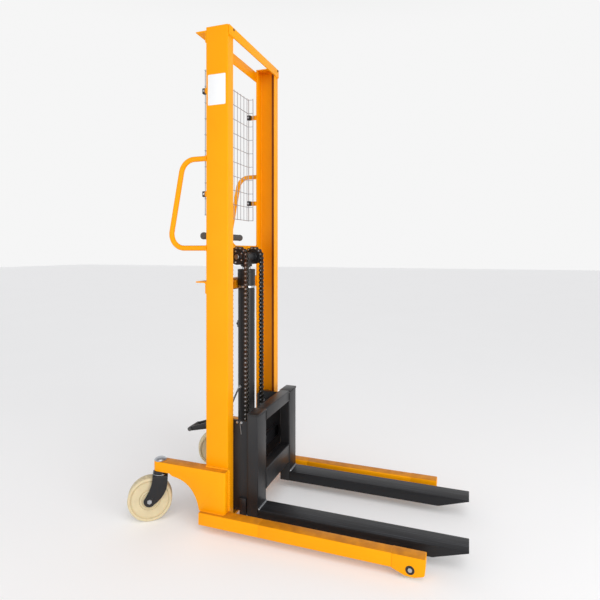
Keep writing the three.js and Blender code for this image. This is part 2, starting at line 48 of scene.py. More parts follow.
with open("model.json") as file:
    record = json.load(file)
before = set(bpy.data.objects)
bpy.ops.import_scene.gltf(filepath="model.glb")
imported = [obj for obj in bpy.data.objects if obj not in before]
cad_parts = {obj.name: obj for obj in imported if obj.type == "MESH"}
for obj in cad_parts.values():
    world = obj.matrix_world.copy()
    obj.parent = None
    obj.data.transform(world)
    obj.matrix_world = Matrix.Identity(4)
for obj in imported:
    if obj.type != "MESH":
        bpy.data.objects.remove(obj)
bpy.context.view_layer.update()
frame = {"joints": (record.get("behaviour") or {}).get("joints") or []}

MM = 0.001
METRE = 1000  # in millimetres, for the scale of patterns
SIDES = (("right", -1), ("left", 1))
mast_low, mast_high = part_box("right_upright")[0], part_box("left_upright")[1]
DATUM = Vector((mast_low.x, (mast_low.y + mast_high.y) / 2, 0))


# ---- the frame in millimetres ----------------------------------------------------------------


def span(*nodes):
    """Lowest and highest corner over some nodes, in millimetres from the datum."""
    corners = [(corner - DATUM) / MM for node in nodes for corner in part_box(node)]
    low = Vector([min(c[i] for c in corners) for i in range(3)])
    high = Vector([max(c[i] for c in corners) for i in range(3)])
    return low, high


def near_and_far(low, high):
    """The inner and the outer Y of a piece that stands to one side."""
    return sorted((low.y, high.y), key=abs)


def pivot(joint):
    """Where a joint turns, in millimetres from the datum."""
    found = next(j for j in frame["joints"] if j["name"] == joint)
    return (Vector(found["pos_m"]) - DATUM) / MM


def travel(joint):
    """How far a slide moves, in millimetres."""
    found = next(j for j in frame["joints"] if j["name"] == joint)
    return found["range_m"][1] / MM


# ---- colours ---------------------------------------------------------------------------------


def from_hex(code):
    """Linear red, green and blue of an sRGB hex colour."""
    channels = [int(code[i:i + 2], 16) / 255 for i in (1, 3, 5)]
    return [c / 12.92 if c <= 0.04045 else ((c + 0.055) / 1.055) ** 2.4 for c in channels]


def colour_choice(name, description, code):
    """A colour that a user can change, given its sRGB hex default."""
    return FloatVectorProperty(name=name, description=description, default=from_hex(code),
                               size=3, min=0, max=1, subtype="COLOR")


def size_choice(name, description, millimetres):
    """A length that a user can change, given its default in millimetres."""
    return FloatProperty(name=name, description=description, default=millimetres * MM,
                         min=0.0001, unit="LENGTH", subtype="DISTANCE", precision=4)


class StackerColours(bpy.types.PropertyGroup):
    """Colours of the truck's finishes"""
    body: colour_choice("Body", "Powder coat on mast, legs and handles", "#FFA500")
    lifting: colour_choice("Lifting gear", "Enamel on carriage, forks and pump", "#1B1B1D")
    wheels: colour_choice("Wheels", "Cast nylon of casters and load rollers", "#DDCDA6")
    wire: colour_choice("Wire", "Zinc plate on guard, nuts and pipe", "#BFC2C6")
    chains: colour_choice("Chains", "Oiled steel of the lift chains", "#5E5A54")
    grips: colour_choice("Grips", "Rubber of the hand grips", "#17171A")
    label: colour_choice("Label", "Vinyl of the blank plate on the mast", "#F2F3F4")
    floor: colour_choice("Floor", "Studio floor", "#EDEDED")


class StackerSizes(bpy.types.PropertyGroup):
    """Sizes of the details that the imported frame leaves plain"""
    edge: size_choice("Plate edge", "Rounding of cut plate edges", 1.2)
    tube_corner: size_choice("Tube corner", "Outer corner of square tubes", 5)
    weld: size_choice("Weld width", "Width of the weld beads", 6)
    ripple: size_choice("Weld ripple", "Spacing of the ripples in a weld bead", 4.5)
    wire: size_choice("Guard wire", "Thickness of the guard's wire", 3.2)
    wire_pitch: size_choice("Guard pitch", "Spacing of the guard's upright wires", 35)
    bolt: size_choice("Bolt", "Thread diameter of the frame bolts", 10)
    chain_pitch: size_choice("Chain pitch", "Pin to pin on the lift chains", 19.05)
    guard_rows: IntProperty(name="Guard rows", description="Level wires in the guard",
                            default=10, min=2, max=40)


def sizes():
    """The user's sizes in millimetres, by name."""
    chosen = bpy.context.scene.stacker_sizes
    lengths = ("edge", "tube_corner", "weld", "ripple", "wire", "wire_pitch", "bolt",
               "chain_pitch")
    made = {name: getattr(chosen, name) / MM for name in lengths}
    return made | {"guard_rows": chosen.guard_rows}


# ---- outlines and places ---------------------------------------------------------------------


def arc(x, y, radius, start, end, steps=12):
    """Points round an arc, with its angles in degrees."""
    angles = [math.radians(start + (end - start) * i / steps) for i in range(steps + 1)]
    return [(x + radius * math.cos(a), y + radius * math.sin(a)) for a in angles]


def rounded(points, radii, steps=4):
    """A closed outline with each corner turned to its radius."""
    if not hasattr(radii, "__len__"):
        radii = [radii] * len(points)
    made = []
    for i, radius in enumerate(radii):
        corner = Vector(points[i])
        before = (Vector(points[i - 1]) - corner).normalized()
        after = (Vector(points[(i + 1) % len(points)]) - corner).normalized()
        if radius <= 0:
            made.append(tuple(corner))
            continue
        half = before.angle(after) / 2
        middle = corner + (before + after).normalized() * radius / math.sin(half)
        start = corner + before * radius / math.tan(half) - middle
        turn = start.angle_signed(corner + after * radius / math.tan(half) - middle)
        for step in range(steps + 1):
            swing = Matrix.Rotation(-turn * step / steps, 2)
            made.append(tuple(middle + swing @ start))
    return made


def parabola(start, control, end, steps=14):
    """Points along a parabola after its start."""
    points = []
    for i in range(1, steps + 1):
        t = i / steps
        points.append(tuple((1 - t) ** 2 * a + 2 * t * (1 - t) * b + t * t * c
                            for a, b, c in zip(start, control, end)))
    return points


def at(x, y, z, turn=None):
    """A place, and a turn there."""
    return Matrix.Translation((x, y, z)) @ (turn or Matrix())


def axes(first, second, third):
    """A turn that sends X, Y and Z to three directions."""
    return Matrix((first, second, third)).transposed().to_4x4()


def facing(*direction):
    """A turn that sends Z to a direction."""
    return Vector(direction).to_track_quat("Z", "X").to_matrix().to_4x4()


ACROSS = facing(0, 1, 0)  # turned shapes laid along Y
SIDE_ON = axes((1, 0, 0), (0, 0, 1), (0, -1, 0))  # outlines drawn in X and Z
END_ON = axes((0, 1, 0), (0, 0, 1), (1, 0, 0))  # outlines drawn in Y and Z


# ---- shells: closed surfaces as (corners, faces) ---------------------------------------------


def shell_of(bm):
    """Takes the corners and faces out of an edit mesh, and frees it."""
    bmesh.ops.recalc_face_normals(bm, faces=bm.faces)
    made = [v.co.copy() for v in bm.verts], [[v.index for v in f.verts] for f in bm.faces]
    bm.free()
    return made


def mesh_of(shell, name="shell"):
    """A Blender mesh with a shell's corners and faces."""
    mesh = bpy.data.meshes.new(name)
    mesh.from_pydata(shell[0], [], shell[1])
    mesh.update()
    return mesh


def moved(shell, place):
    """The same shell somewhere else."""
    return [place @ Vector(v) for v in shell[0]], shell[1]


def together(*shells):
    """Several shells as one."""
    corners, faces = [], []
    for more, theirs in shells:
        first = len(corners)
        corners += more
        faces += [[first + i for i in face] for face in theirs]
    return corners, faces


def plate(outline, thickness, edge=1.0, holes=(), steps=1):
    """A flat plate in X and Y, centred on Z, with its rims rounded."""
    curve = bpy.data.curves.new("outline", "CURVE")
    curve.dimensions, curve.fill_mode = "2D", "BOTH"
    curve.extrude, curve.bevel_depth = thickness / 2 - edge, edge
    curve.bevel_resolution, curve.offset = steps, -edge
    for loop in (outline, *holes):
        spline = curve.splines.new("POLY")
        spline.points.add(len(loop) - 1)
        for point, (x, y) in zip(spline.points, loop):
            point.co = (x, y, 0, 1)
        spline.use_cyclic_u = True
    holder = bpy.data.objects.new("outline", curve)
    mesh = bpy.data.meshes.new_from_object(holder)
    bm = bmesh.new()
    bm.from_mesh(mesh)
    bmesh.ops.remove_doubles(bm, verts=bm.verts, dist=0.002)
    bpy.data.objects.remove(holder)
    bpy.data.curves.remove(curve)
    bpy.data.meshes.remove(mesh)
    bm.verts.index_update()
    return shell_of(bm)


def prism(outline, thickness):
    """A thin plate with plain edges, centred on Z."""
    n, half = len(outline), thickness / 2
    corners = [Vector((x, y, z)) for z in (-half, half) for x, y in outline]
    faces = [list(range(n))[::-1], list(range(n, 2 * n))]
    faces += [[i, (i + 1) % n, n + (i + 1) % n, n + i] for i in range(n)]
    return corners, faces


def block(low, high, edge=1.5, steps=2):
    """A solid between any two opposite corners, its edges rounded."""
    low, high = [[pick(pair) for pair in zip(low, high)] for pick in (min, max)]
    bm = bmesh.new()
    bmesh.ops.create_cube(bm, size=1)
    for v in bm.verts:
        v.co = Vector([low[i] + (v.co[i] + 0.5) * (high[i] - low[i]) for i in range(3)])
    bmesh.ops.bevel(bm, geom=bm.edges[:], offset=edge, segments=steps, profile=0.5,
                    affect="EDGES", clamp_overlap=True)
    bm.verts.index_update()
    return shell_of(bm)


def lathe(profile, sides=32):
    """A shape turned about Z. Its (radius, height) profile ends on the axis or meets itself."""
    corners, faces, rings = [], [], []
    for radius, height in profile:
        if radius < 1e-6:
            rings.append([len(corners)] * sides)
            corners.append(Vector((0, 0, height)))
            continue
        rings.append([len(corners) + i for i in range(sides)])
        for i in range(sides):
            a = 2 * math.pi * i / sides
            corners.append(Vector((radius * math.cos(a), radius * math.sin(a), height)))
    if profile[0][0] > 1e-6:
        rings.append(rings[0])
    for lower, upper in zip(rings, rings[1:]):
        for i in range(sides):
            j = (i + 1) % sides
            face = list(dict.fromkeys([lower[i], lower[j], upper[j], upper[i]]))
            if len(face) > 2:
                faces.append(face)
    bm = bmesh.new()
    mesh = mesh_of((corners, faces))
    bm.from_mesh(mesh)
    bpy.data.meshes.remove(mesh)
    return shell_of(bm)


def mirrored(face):
    """The other side of a turned profile."""
    return [(radius, -height) for radius, height in reversed(face)]


def tread(rim, half):
    """The worn band round a wheel."""
    face = [(rim - 2, half), (rim - 0.5, half), (rim, half - 0.8)]
    return lathe(face + mirrored(face), 64)


def bearing(bore, outer, half):
    """A sealed ball bearing: two rings with a sunk shield between them."""
    face = [(bore, half), (bore + 2, half), (bore + 2.4, half - 0.8), (outer - 2.4, half - 0.8),
            (outer - 2, half), (outer, half)]
    return lathe(face + mirrored(face), 32)


def rod(radius, low, high, sides=24):
    """A plain round bar or disc along Z."""
    return lathe([(0, low), (radius, low), (radius, high), (0, high)], sides)


def button(radius, low, high, inset=1.0, drop=0.6, sides=24):
    """A round head along Z, with its top edge turned off."""
    return lathe([(0, low), (radius, low), (radius, high - drop), (radius - inset, high),
                  (0, high)], sides)


def sweep(path, widths, sides=16):
    """Rings of the given radii along a path, with closed ends."""
    corners, faces = [], []
    ahead = [(b - a).normalized() for a, b in zip(path, path[1:])]
    tangents = [ahead[0]] + [(a + b).normalized() for a, b in zip(ahead, ahead[1:])] + [ahead[-1]]
    side = tangents[0].orthogonal().normalized()
    for point, tangent, width in zip(path, tangents, widths):
        side = (side - tangent * side.dot(tangent)).normalized()
        up = tangent.cross(side)
        for i in range(sides):
            a = 2 * math.pi * i / sides
            corners.append(point + (side * math.cos(a) + up * math.sin(a)) * width)
    for ring in range(len(path) - 1):
        for i in range(sides):
            j = (i + 1) % sides
            a, b = ring * sides, (ring + 1) * sides
            faces.append([a + i, a + j, b + j, b + i])
    faces.append(list(range(sides))[::-1])
    faces.append([len(corners) - sides + i for i in range(sides)])
    return corners, faces


def bent(points, radii, step=10):
    """A line of points whose inner corners are bent to their radii, one point every few degrees."""
    points = [Vector(p) for p in points]
    path = [points[0]]
    for before, corner, after, radius in zip(points, points[1:], points[2:], radii):
        into, out = (before - corner).normalized(), (after - corner).normalized()
        half = into.angle(out) / 2
        middle = corner + (into + out).normalized() * radius / math.sin(half)
        start = corner + into * radius / math.tan(half) - middle
        end = corner + out * radius / math.tan(half) - middle
        axis = start.cross(end).normalized()
        turn = math.pi - 2 * half
        count = max(2, round(math.degrees(turn) / step))
        for i in range(count + 1):
            path.append(middle + Matrix.Rotation(turn * i / count, 3, axis) @ start)
    return path + [points[-1]]


def tube(points, diameter, radii=(), sides=20):
    """A round bar bent at its inner points."""
    path = bent(points, radii)
    return sweep(path, [diameter / 2] * len(path), sides)


def weld(*points, size=1.0):
    """A rippled weld bead along a line."""
    chosen = sizes()
    bead, ripple = chosen["weld"] * size, chosen["ripple"] * size
    shape = (0.74, 1.0, 0.88)  # the swell of one ripple, so the bead catches the light in scales
    path = []
    for a, b in zip(points, points[1:]):
        a, b = Vector(a), Vector(b)
        count = max(2, round((b - a).length / ripple * len(shape)))
        path += [a.lerp(b, i / count) for i in range(count + (b == Vector(points[-1])))]
    widths = [bead / 2 * shape[i % len(shape)] for i in range(len(path))]
    widths[0] = widths[-1] = bead / 4
    return sweep(path, widths, sides=8)


def weld_ring(place, radius, step):
    """A weld bead round a circle, with a point every few degrees."""
    turns = [math.radians(step * i) for i in range(360 // step + 1)]
    return weld(*(place @ Vector((radius * math.cos(a), radius * math.sin(a), 0))
                  for a in turns))


def hexagon(across, low, high):
    """A nut or bolt head: six flats, with the corners turned off the top."""
    corner = across / math.sqrt(3)
    return lathe([(0, low), (corner, low), (corner, high - 0.12 * across),
                  (corner * 0.88, high), (0, high)], sides=6)


def bolt_head(thread):
    """A washer and a hexagon head that stand up from the origin."""
    return together(rod(thread * 1.02, 0, thread * 0.16),
                    hexagon(thread * 1.6, thread * 0.16, thread * 0.8))


def stud_end(thread, length):
    """A nut on a washer, with the end of the thread standing out of it."""
    pitch, radius = 1.5, thread / 2
    turns = [(0, 0)]
    for i in range(int(length / pitch)):
        turns += [(radius, i * pitch), (radius - 0.5, (i + 0.5) * pitch)]
    turns += [(radius - 0.8, length), (0, length)]
    return together(bolt_head(thread), lathe(turns, sides=16))


def combined(first, second, how, soften=0.0):
    """Two shells cut from, or kept only inside, each other, then their new edges rounded."""
    holders = []
    for shell in (first, second):
        holder = bpy.data.objects.new("work", mesh_of(shell))
        bpy.context.scene.collection.objects.link(holder)
        holders.append(holder)
    body, tool = holders
    modifier = body.modifiers.new("cut", "BOOLEAN")
    modifier.operation, modifier.object, modifier.solver = how, tool, "EXACT"
    modifier.use_self = True
    bpy.context.view_layer.update()
    shown = body.evaluated_get(bpy.context.evaluated_depsgraph_get())
    bm = bmesh.new()
    mesh = bpy.data.meshes.new_from_object(shown)
    bm.from_mesh(mesh)
    for holder in holders:
        data = holder.data
        bpy.data.objects.remove(holder)
        bpy.data.meshes.remove(data)
    bpy.data.meshes.remove(mesh)
    bmesh.ops.remove_doubles(bm, verts=bm.verts, dist=0.01)
    bmesh.ops.dissolve_limit(bm, angle_limit=math.radians(1), verts=bm.verts, edges=bm.edges)
    if soften:
        sharp = [e for e in bm.edges if e.is_manifold and e.calc_face_angle() > math.radians(30)]
        bmesh.ops.bevel(bm, geom=sharp, offset=soften, segments=2, profile=0.5,
                        affect="EDGES", clamp_overlap=True)
    bm.verts.index_update()
    return shell_of(bm)


class Piece:
    """One visible piece: closed shells in millimetres, each with its material."""

    def __init__(self, name):
        self.name, self.corners, self.faces = name, [], []
        self.finishes, self.finish_of_face = [], []

    def add(self, shell, finish, place=None):
        """Adds a shell in one finish, moved to its place."""
        if place is not None:
            shell = moved(shell, place)
        first = len(self.corners)
        self.corners += shell[0]
        self.faces += [[first + i for i in face] for face in shell[1]]
        if finish not in self.finishes:
            self.finishes.append(finish)
        self.finish_of_face += [self.finishes.index(finish)] * len(shell[1])
        return self

    def mount(self, body, slot, *nodes, smooth=34):
        """Makes the object, which rides on a body and stands for some nodes."""
        if not self.faces:
            raise RuntimeError(f"{self.name} has no faces")
        mesh = mesh_of(([DATUM + Vector(v) * MM for v in self.corners], self.faces), self.name)
        mesh.polygons.foreach_set("material_index", self.finish_of_face)
        for finish in self.finishes:
            mesh.materials.append(material(finish))
        mesh.shade_smooth()
        mesh.set_sharp_from_angle(angle=math.radians(smooth))
        holder = bpy.data.objects.new(self.name, mesh)
        bpy.context.scene.collection.objects.link(holder)
        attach(holder, body)
        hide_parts(*nodes)
        return holder


# ---- materials -------------------------------------------------------------------------------


def add_node(tree, kind, settings=None, **inputs):
    """Adds a node, sets what it is told, and sets or joins its inputs."""
    node = tree.nodes.new(kind)
    for name, value in (settings or {}).items():
        setattr(node, name, value)
    for name, value in inputs.items():
        key = int(name[1:]) if name[1:].isdigit() else name
        socket = node.inputs[key]
        if isinstance(value, bpy.types.NodeSocket):
            tree.links.new(value, socket)
        else:
            socket.default_value = value
    return node


def start_material(name, **sockets):
    """A new material's tree, with some of its shader's sockets set, and its coordinates."""
    made = bpy.data.materials.new(name)
    made.use_nodes = True
    tree = made.node_tree
    for key, value in sockets.items():
        tree.nodes["Principled BSDF"].inputs[key.replace("_", " ")].default_value = value
    return tree, add_node(tree, "ShaderNodeTexCoord").outputs["Object"]


def end_material(tree, colour, grain=None, rough=(), relief=None, strength=0.0, depth=0.0):
    """Joins the colour, a roughness between two limits, and a relief of some depth in mm."""
    shader = tree.nodes["Principled BSDF"]
    tree.links.new(colour, shader.inputs["Base Color"])
    if grain:
        spread = add_node(tree, "ShaderNodeMapRange", _0=grain.outputs[0], _3=rough[0],
                          _4=rough[1])
        tree.links.new(spread.outputs[0], shader.inputs["Roughness"])
    if relief:
        bump = add_node(tree, "ShaderNodeBump", Height=relief.outputs[0], Strength=strength,
                        Distance=depth * MM)
        tree.links.new(bump.outputs[0], shader.inputs["Normal"])


def shades(tree, share, dark, light):
    """A colour between two, by a share from 0 to 1."""
    ends = {key: end if isinstance(end, bpy.types.NodeSocket) else (*end, 1)
            for key, end in (("_6", dark), ("_7", light))}
    return add_node(tree, "ShaderNodeMix", {"data_type": "RGBA"}, _0=share, **ends).outputs[2]


def looks_up(tree):
    """A share that is 1 on level faces and 0 on upright ones."""
    normal = add_node(tree, "ShaderNodeNewGeometry").outputs["Normal"]
    up = add_node(tree, "ShaderNodeSeparateXYZ", _0=normal)
    return add_node(tree, "ShaderNodeMapRange", _0=up.outputs[2], _1=0.8, _2=0.99).outputs[0]


def scaled(colour, share):
    """The same colour, darker or lighter."""
    return [min(1, c * share) for c in colour]


def orange_powder_coat():
    """Thermoset polyester powder, sprayed and oven cured: saturated and even, semi-gloss, with a
    fine orange-peel ripple that breaks up the highlights. Faces that look up hold brown patches:
    partly a film of dust, and partly painted shade that darkens the tops."""
    colour = bpy.context.scene.stacker_colours.body
    tree, place = start_material("orange_powder_coat", Metallic=0, IOR=1.5,
                                 Specular_IOR_Level=0.14)
    cloud = add_node(tree, "ShaderNodeTexNoise", Vector=place, Scale=METRE / 160, Detail=2)
    gloss = add_node(tree, "ShaderNodeTexNoise", Vector=place, Scale=METRE / 35, Detail=3)
    # Real peel repeats about every 1.5 mm, and is drawn at 3 mm so that it shows.
    peel = add_node(tree, "ShaderNodeTexNoise", Vector=place, Scale=METRE / 3, Detail=1)
    paint = shades(tree, cloud.outputs[0], scaled(colour, 0.9), scaled(colour, 1.04))
    film = add_node(tree, "ShaderNodeMapRange", _0=gloss.outputs[0], _1=0.25, _2=0.75,
                    _3=0.35, _4=0.75)
    # Painted shade along with dust: the brown patches go only on faces that look up.
    dust = add_node(tree, "ShaderNodeMath", {"operation": "MULTIPLY"}, _0=film.outputs[0],
                    _1=looks_up(tree))
    end_material(tree, shades(tree, dust.outputs[0], paint, from_hex("#9A5A22")),
                 gloss, (0.36, 0.52), peel, 0.16, 0.05)


def black_enamel():
    """Air-drying black enamel on plate steel: satin, a little dusty, with brush-wide changes of
    gloss that make long faces look grey where they turn to the light."""
    colour = bpy.context.scene.stacker_colours.lifting
    tree, place = start_material("black_enamel", Metallic=0, IOR=1.5, Specular_IOR_Level=0.38)
    dust = add_node(tree, "ShaderNodeTexNoise", Vector=place, Scale=METRE / 70, Detail=5,
                    Roughness=0.6)
    # Dust nibs are finer than 1 mm, and are drawn at 2.2 mm so that they show.
    grit = add_node(tree, "ShaderNodeTexNoise", Vector=place, Scale=METRE / 2.2, Detail=2)
    end_material(tree, shades(tree, dust.outputs[0], scaled(colour, 0.7), scaled(colour, 1.5)),
                 dust, (0.3, 0.48), grit, 0.18, 0.05)


def fork_enamel_wear_and_sheen():
    """The same enamel where loads slide on it: grey streaks run along the blade's top and leave its
    sides black. They are partly dull drag marks and partly painted sheen on the top."""
    colour = bpy.context.scene.stacker_colours.lifting
    tree, place = start_material("fork_enamel_wear_and_sheen", Metallic=0, IOR=1.5,
                                 Specular_IOR_Level=0.25)
    # Drag marks are 1 to 2 mm wide, drawn at 5 mm so they show; the streaks also paint sheen.
    drag = add_node(tree, "ShaderNodeMapping", Vector=place,
                    Scale=(METRE / 260, METRE / 5, METRE / 5))
    marks = add_node(tree, "ShaderNodeTexNoise", Vector=drag.outputs[0], Scale=1, Detail=6,
                     Roughness=0.65)
    worn = add_node(tree, "ShaderNodeMapRange", _0=marks.outputs[0], _1=0.5, _2=0.72)
    # Painted sheen along with wear: the grey streaks go only on faces that look up.
    share = add_node(tree, "ShaderNodeMath", {"operation": "MULTIPLY"}, _0=worn.outputs[0],
                     _1=looks_up(tree))
    end_material(tree, shades(tree, share.outputs[0], scaled(colour, 1.1), from_hex("#46474C")),
                 marks, (0.3, 0.5), marks, 0.15, 0.08)


def cast_nylon():
    """Monomer-cast nylon, turned to size: warm cream, faintly cloudy and waxy, with light
    sinking a little way in."""
    colour = bpy.context.scene.stacker_colours.wheels
    tree, place = start_material("cast_nylon", Metallic=0, IOR=1.53, Subsurface_Weight=0.06,
                                 Subsurface_Scale=2 * MM)
    cloud = add_node(tree, "ShaderNodeTexNoise", Vector=place, Scale=METRE / 22, Detail=4)
    # Turning marks are about 0.2 mm apart, and are drawn at 1.6 mm so that they show.
    pores = add_node(tree, "ShaderNodeTexNoise", Vector=place, Scale=METRE / 1.6, Detail=2)
    end_material(tree, shades(tree, cloud.outputs[0], scaled(colour, 0.8), scaled(colour, 1.0)),
                 cloud, (0.38, 0.55), pores, 0.15, 0.05)


def rolled_nylon():
    """The same nylon on a tread that has run on a warehouse floor: dulled, with grey grime
    pressed into it."""
    colour = bpy.context.scene.stacker_colours.wheels
    tree, place = start_material("rolled_nylon", Metallic=0, IOR=1.53)
    grime = add_node(tree, "ShaderNodeTexNoise", Vector=place, Scale=METRE / 9, Detail=7,
                     Roughness=0.7)
    share = add_node(tree, "ShaderNodeMapRange", _0=grime.outputs[0], _1=0.42, _2=0.66)
    end_material(tree, shades(tree, share.outputs[0], scaled(colour, 0.95), from_hex("#A79A7C")),
                 grime, (0.5, 0.75), grime, 0.25, 0.1)


def zinc_plate():
    """Bright electroplated zinc: a cool silver, cloudy in its gloss."""
    colour = bpy.context.scene.stacker_colours.wire
    tree, place = start_material("zinc_plate", Metallic=1)
    cloud = add_node(tree, "ShaderNodeTexNoise", Vector=place, Scale=METRE / 8, Detail=4)
    end_material(tree, shades(tree, cloud.outputs[0], scaled(colour, 0.82), scaled(colour, 1.05)),
                 cloud, (0.24, 0.42))


def hard_chrome():
    """Ground hard chrome on the piston rod: near mirror, with faint grinding rings."""
    tree, place = start_material("hard_chrome", Metallic=1)
    # Grinding lines are finer than 0.1 mm, and are drawn 0.9 mm apart so that they show.
    rings = add_node(tree, "ShaderNodeMapping", Vector=place,
                     Scale=(METRE / 60, METRE / 60, METRE / 0.9))
    grind = add_node(tree, "ShaderNodeTexNoise", Vector=rings.outputs[0], Scale=1, Detail=3)
    end_material(tree, shades(tree, grind.outputs[0], from_hex("#C9CCCF"), from_hex("#DADCDE")),
                 grind, (0.07, 0.16))


def oiled_chain_steel():
    """Blued and oiled chain: near black in the links, with bright wet rims on pins and plates."""
    colour = bpy.context.scene.stacker_colours.chains
    tree, place = start_material("oiled_chain_steel", Metallic=1)
    oil = add_node(tree, "ShaderNodeTexNoise", Vector=place, Scale=METRE / 6, Detail=4)
    end_material(tree, shades(tree, oil.outputs[0], scaled(colour, 0.4), scaled(colour, 1.6)),
                 oil, (0.2, 0.42))


def cut_steel():
    """Bare turned and cut steel under a film of oil: grey, with fine tool lines."""
    tree, place = start_material("cut_steel", Metallic=1)
    # Tool lines are about 0.3 mm apart, and are drawn at 1.5 mm so that they show.
    lines = add_node(tree, "ShaderNodeTexNoise", Vector=place, Scale=METRE / 1.5, Detail=3)
    end_material(tree, shades(tree, lines.outputs[0], from_hex("#77797C"), from_hex("#A3A5A8")),
                 lines, (0.28, 0.45))


def black_oxide():
    """Black oxide on small bolts and clips: a deep matt black with a dry sheen."""
    tree, place = start_material("black_oxide", Metallic=0, IOR=1.5)
    bloom = add_node(tree, "ShaderNodeTexNoise", Vector=place, Scale=METRE / 4, Detail=3)
    end_material(tree, shades(tree, bloom.outputs[0], from_hex("#0E0E0F"), from_hex("#232325")),
                 bloom, (0.4, 0.6))


def grip_rubber():
    """Moulded black rubber: matt and soft-edged, with a fine grain."""
    colour = bpy.context.scene.stacker_colours.grips
    tree, place = start_material("grip_rubber", Metallic=0, IOR=1.52)
    # The mould's grain is about 0.5 mm, and is drawn at 1.4 mm so that it shows.
    grain = add_node(tree, "ShaderNodeTexVoronoi", Vector=place, Scale=METRE / 1.4)
    haze = add_node(tree, "ShaderNodeTexNoise", Vector=place, Scale=METRE / 18, Detail=3)
    end_material(tree, shades(tree, haze.outputs[0], scaled(colour, 0.8), scaled(colour, 1.7)),
                 haze, (0.62, 0.82), grain, 0.3, 0.1)


def painted_channel_shade():
    """Painted shade in the mast channels: a dark brown, waxy strip on the front flange's lip and
    on the web behind it, where shade falls, patchy in its tone."""
    # Painted shade: this dark colour stands for the shadow at the channel's front flange lip.
    tree, place = start_material("painted_channel_shade", Metallic=0, IOR=1.47, Roughness=0.42,
                                 Specular_IOR_Level=0.25)
    patches = add_node(tree, "ShaderNodeTexNoise", Vector=place, Scale=METRE / 90, Detail=4)
    end_material(tree, shades(tree, patches.outputs[0], from_hex("#6A2C04"), from_hex("#8E480A")))


def label_vinyl():
    """Printed vinyl film under a clear laminate, left blank: white and smooth."""
    colour = bpy.context.scene.stacker_colours.label
    tree, place = start_material("label_vinyl", Metallic=0, IOR=1.5, Coat_Weight=0.3,
                                 Coat_Roughness=0.15)
    haze = add_node(tree, "ShaderNodeTexNoise", Vector=place, Scale=METRE / 40, Detail=2)
    end_material(tree, shades(tree, haze.outputs[0], scaled(colour, 0.95), scaled(colour, 1.0)),
                 haze, (0.3, 0.4))


def studio_floor():
    """Rolled matt vinyl studio floor: pale, with no gloss to mirror the truck."""
    colour = bpy.context.scene.stacker_colours.floor
    tree, place = start_material("studio_floor", Metallic=0, Roughness=0.9,
                                 Emission_Strength=0.13)
    cloud = add_node(tree, "ShaderNodeTexNoise", Vector=place, Scale=METRE / 900, Detail=2)
    end_material(tree, shades(tree, cloud.outputs[0], scaled(colour, 0.98), scaled(colour, 1.0)))


FINISHES = {make.__name__: make for make in (
    orange_powder_coat, black_enamel, fork_enamel_wear_and_sheen, cast_nylon, rolled_nylon, zinc_plate,
    hard_chrome, oiled_chain_steel, cut_steel, black_oxide, grip_rubber, painted_channel_shade,
    label_vinyl, studio_floor)}
ORANGE, BLACK, BLADE = "orange_powder_coat", "black_enamel", "fork_enamel_wear_and_sheen"
NYLON, TREAD, ZINC, CHROME = "cast_nylon", "rolled_nylon", "zinc_plate", "hard_chrome"
CHAIN, STEEL, OXIDE = "oiled_chain_steel", "cut_steel", "black_oxide"
RUBBER, VINYL, CHANNEL_SHADE = "grip_rubber", "label_vinyl", "painted_channel_shade"


def material(name):
    """A finish by its name, made when it is first asked for."""
    if name not in bpy.data.materials:
        FINISHES[name]()
    return bpy.data.materials[name]


# ---- mast ------------------------------------------------------------------------------------


class STACKER_OT_mast(bpy.types.Operator):
    """Two rolled channels, each closed at the top by a welded cap, and the blank label"""
    bl_idname = "stacker.mast"
    bl_label = "Mast channels"

    web, flange, root, heel = 6, 8, 8, 4
    cap = 6
    shade_band = (68, 83)  # in X, the band of painted shade on the web just behind the front flange's lip
    label_size, label_drop = (81, 125), 260

    def execute(self, context):
        for name, side in SIDES:
            low, high = span(f"{name}_upright")
            lip, outer = near_and_far(low, high)
            depth, inside = high.x, outer - side * self.web
            outline = rounded(
                [(0, outer), (depth, outer), (depth, lip), (depth - self.flange, lip),
                 (depth - self.flange, inside), (self.flange, inside), (self.flange, lip),
                 (0, lip)],
                [self.heel, self.heel, 2, 2, self.root, self.root, 2, 2])
            channel = Piece(f"{name}_mast_channel")
            channel.add(plate(outline, high.z - low.z, 0.8), ORANGE,
                        at(0, 0, (low.z + high.z) / 2))
            channel.add(block((self.flange - 1, lip + side * 0.5, high.z - self.cap),
                              (depth - self.flange + 1, inside + side, high.z), 1), ORANGE)
            # Painted shade: a dark strip on the front flange's lip edge.
            channel.add(self.film(depth, lip, side, high.z - 80), CHANNEL_SHADE,
                        at(0, 0, high.z / 2 + 25))
            # Painted shade: a dark band on the web just behind that lip.
            back, front = self.shade_band
            channel.add(block((back, inside - side * 0.3, 65),
                              (front, inside + side * 0.5, high.z - 15), 0.2), CHANNEL_SHADE)
            if side < 0:
                channel.add(self.label(*self.label_size), VINYL,
                            at(depth / 2, outer, high.z - self.label_drop, SIDE_ON))
            channel.mount("frame", "orange_paint", f"{name}_upright")
        return {"FINISHED"}

    def film(self, edge, lip, side, length):
        """A dark strip of painted shade along the front flange's edge."""
        out, back = lip - side * 0.3, edge - self.flange - 0.3
        outline = [(edge - 1.5, lip + side * 0.5), (edge - 1.5, out), (back, out),
                   (back, lip + side * 8), (back + 0.6, lip + side * 8),
                   (back + 0.6, lip + side * 0.5)]
        return prism(outline[::-side], length)  # turned round, so both sides face outwards

    def label(self, width, height):
        """A blank vinyl plate with rounded corners."""
        w, h = width / 2, height / 2
        return plate(rounded([(-w, -h), (w, -h), (w, h), (-w, h)], 4), 0.7, 0.15)


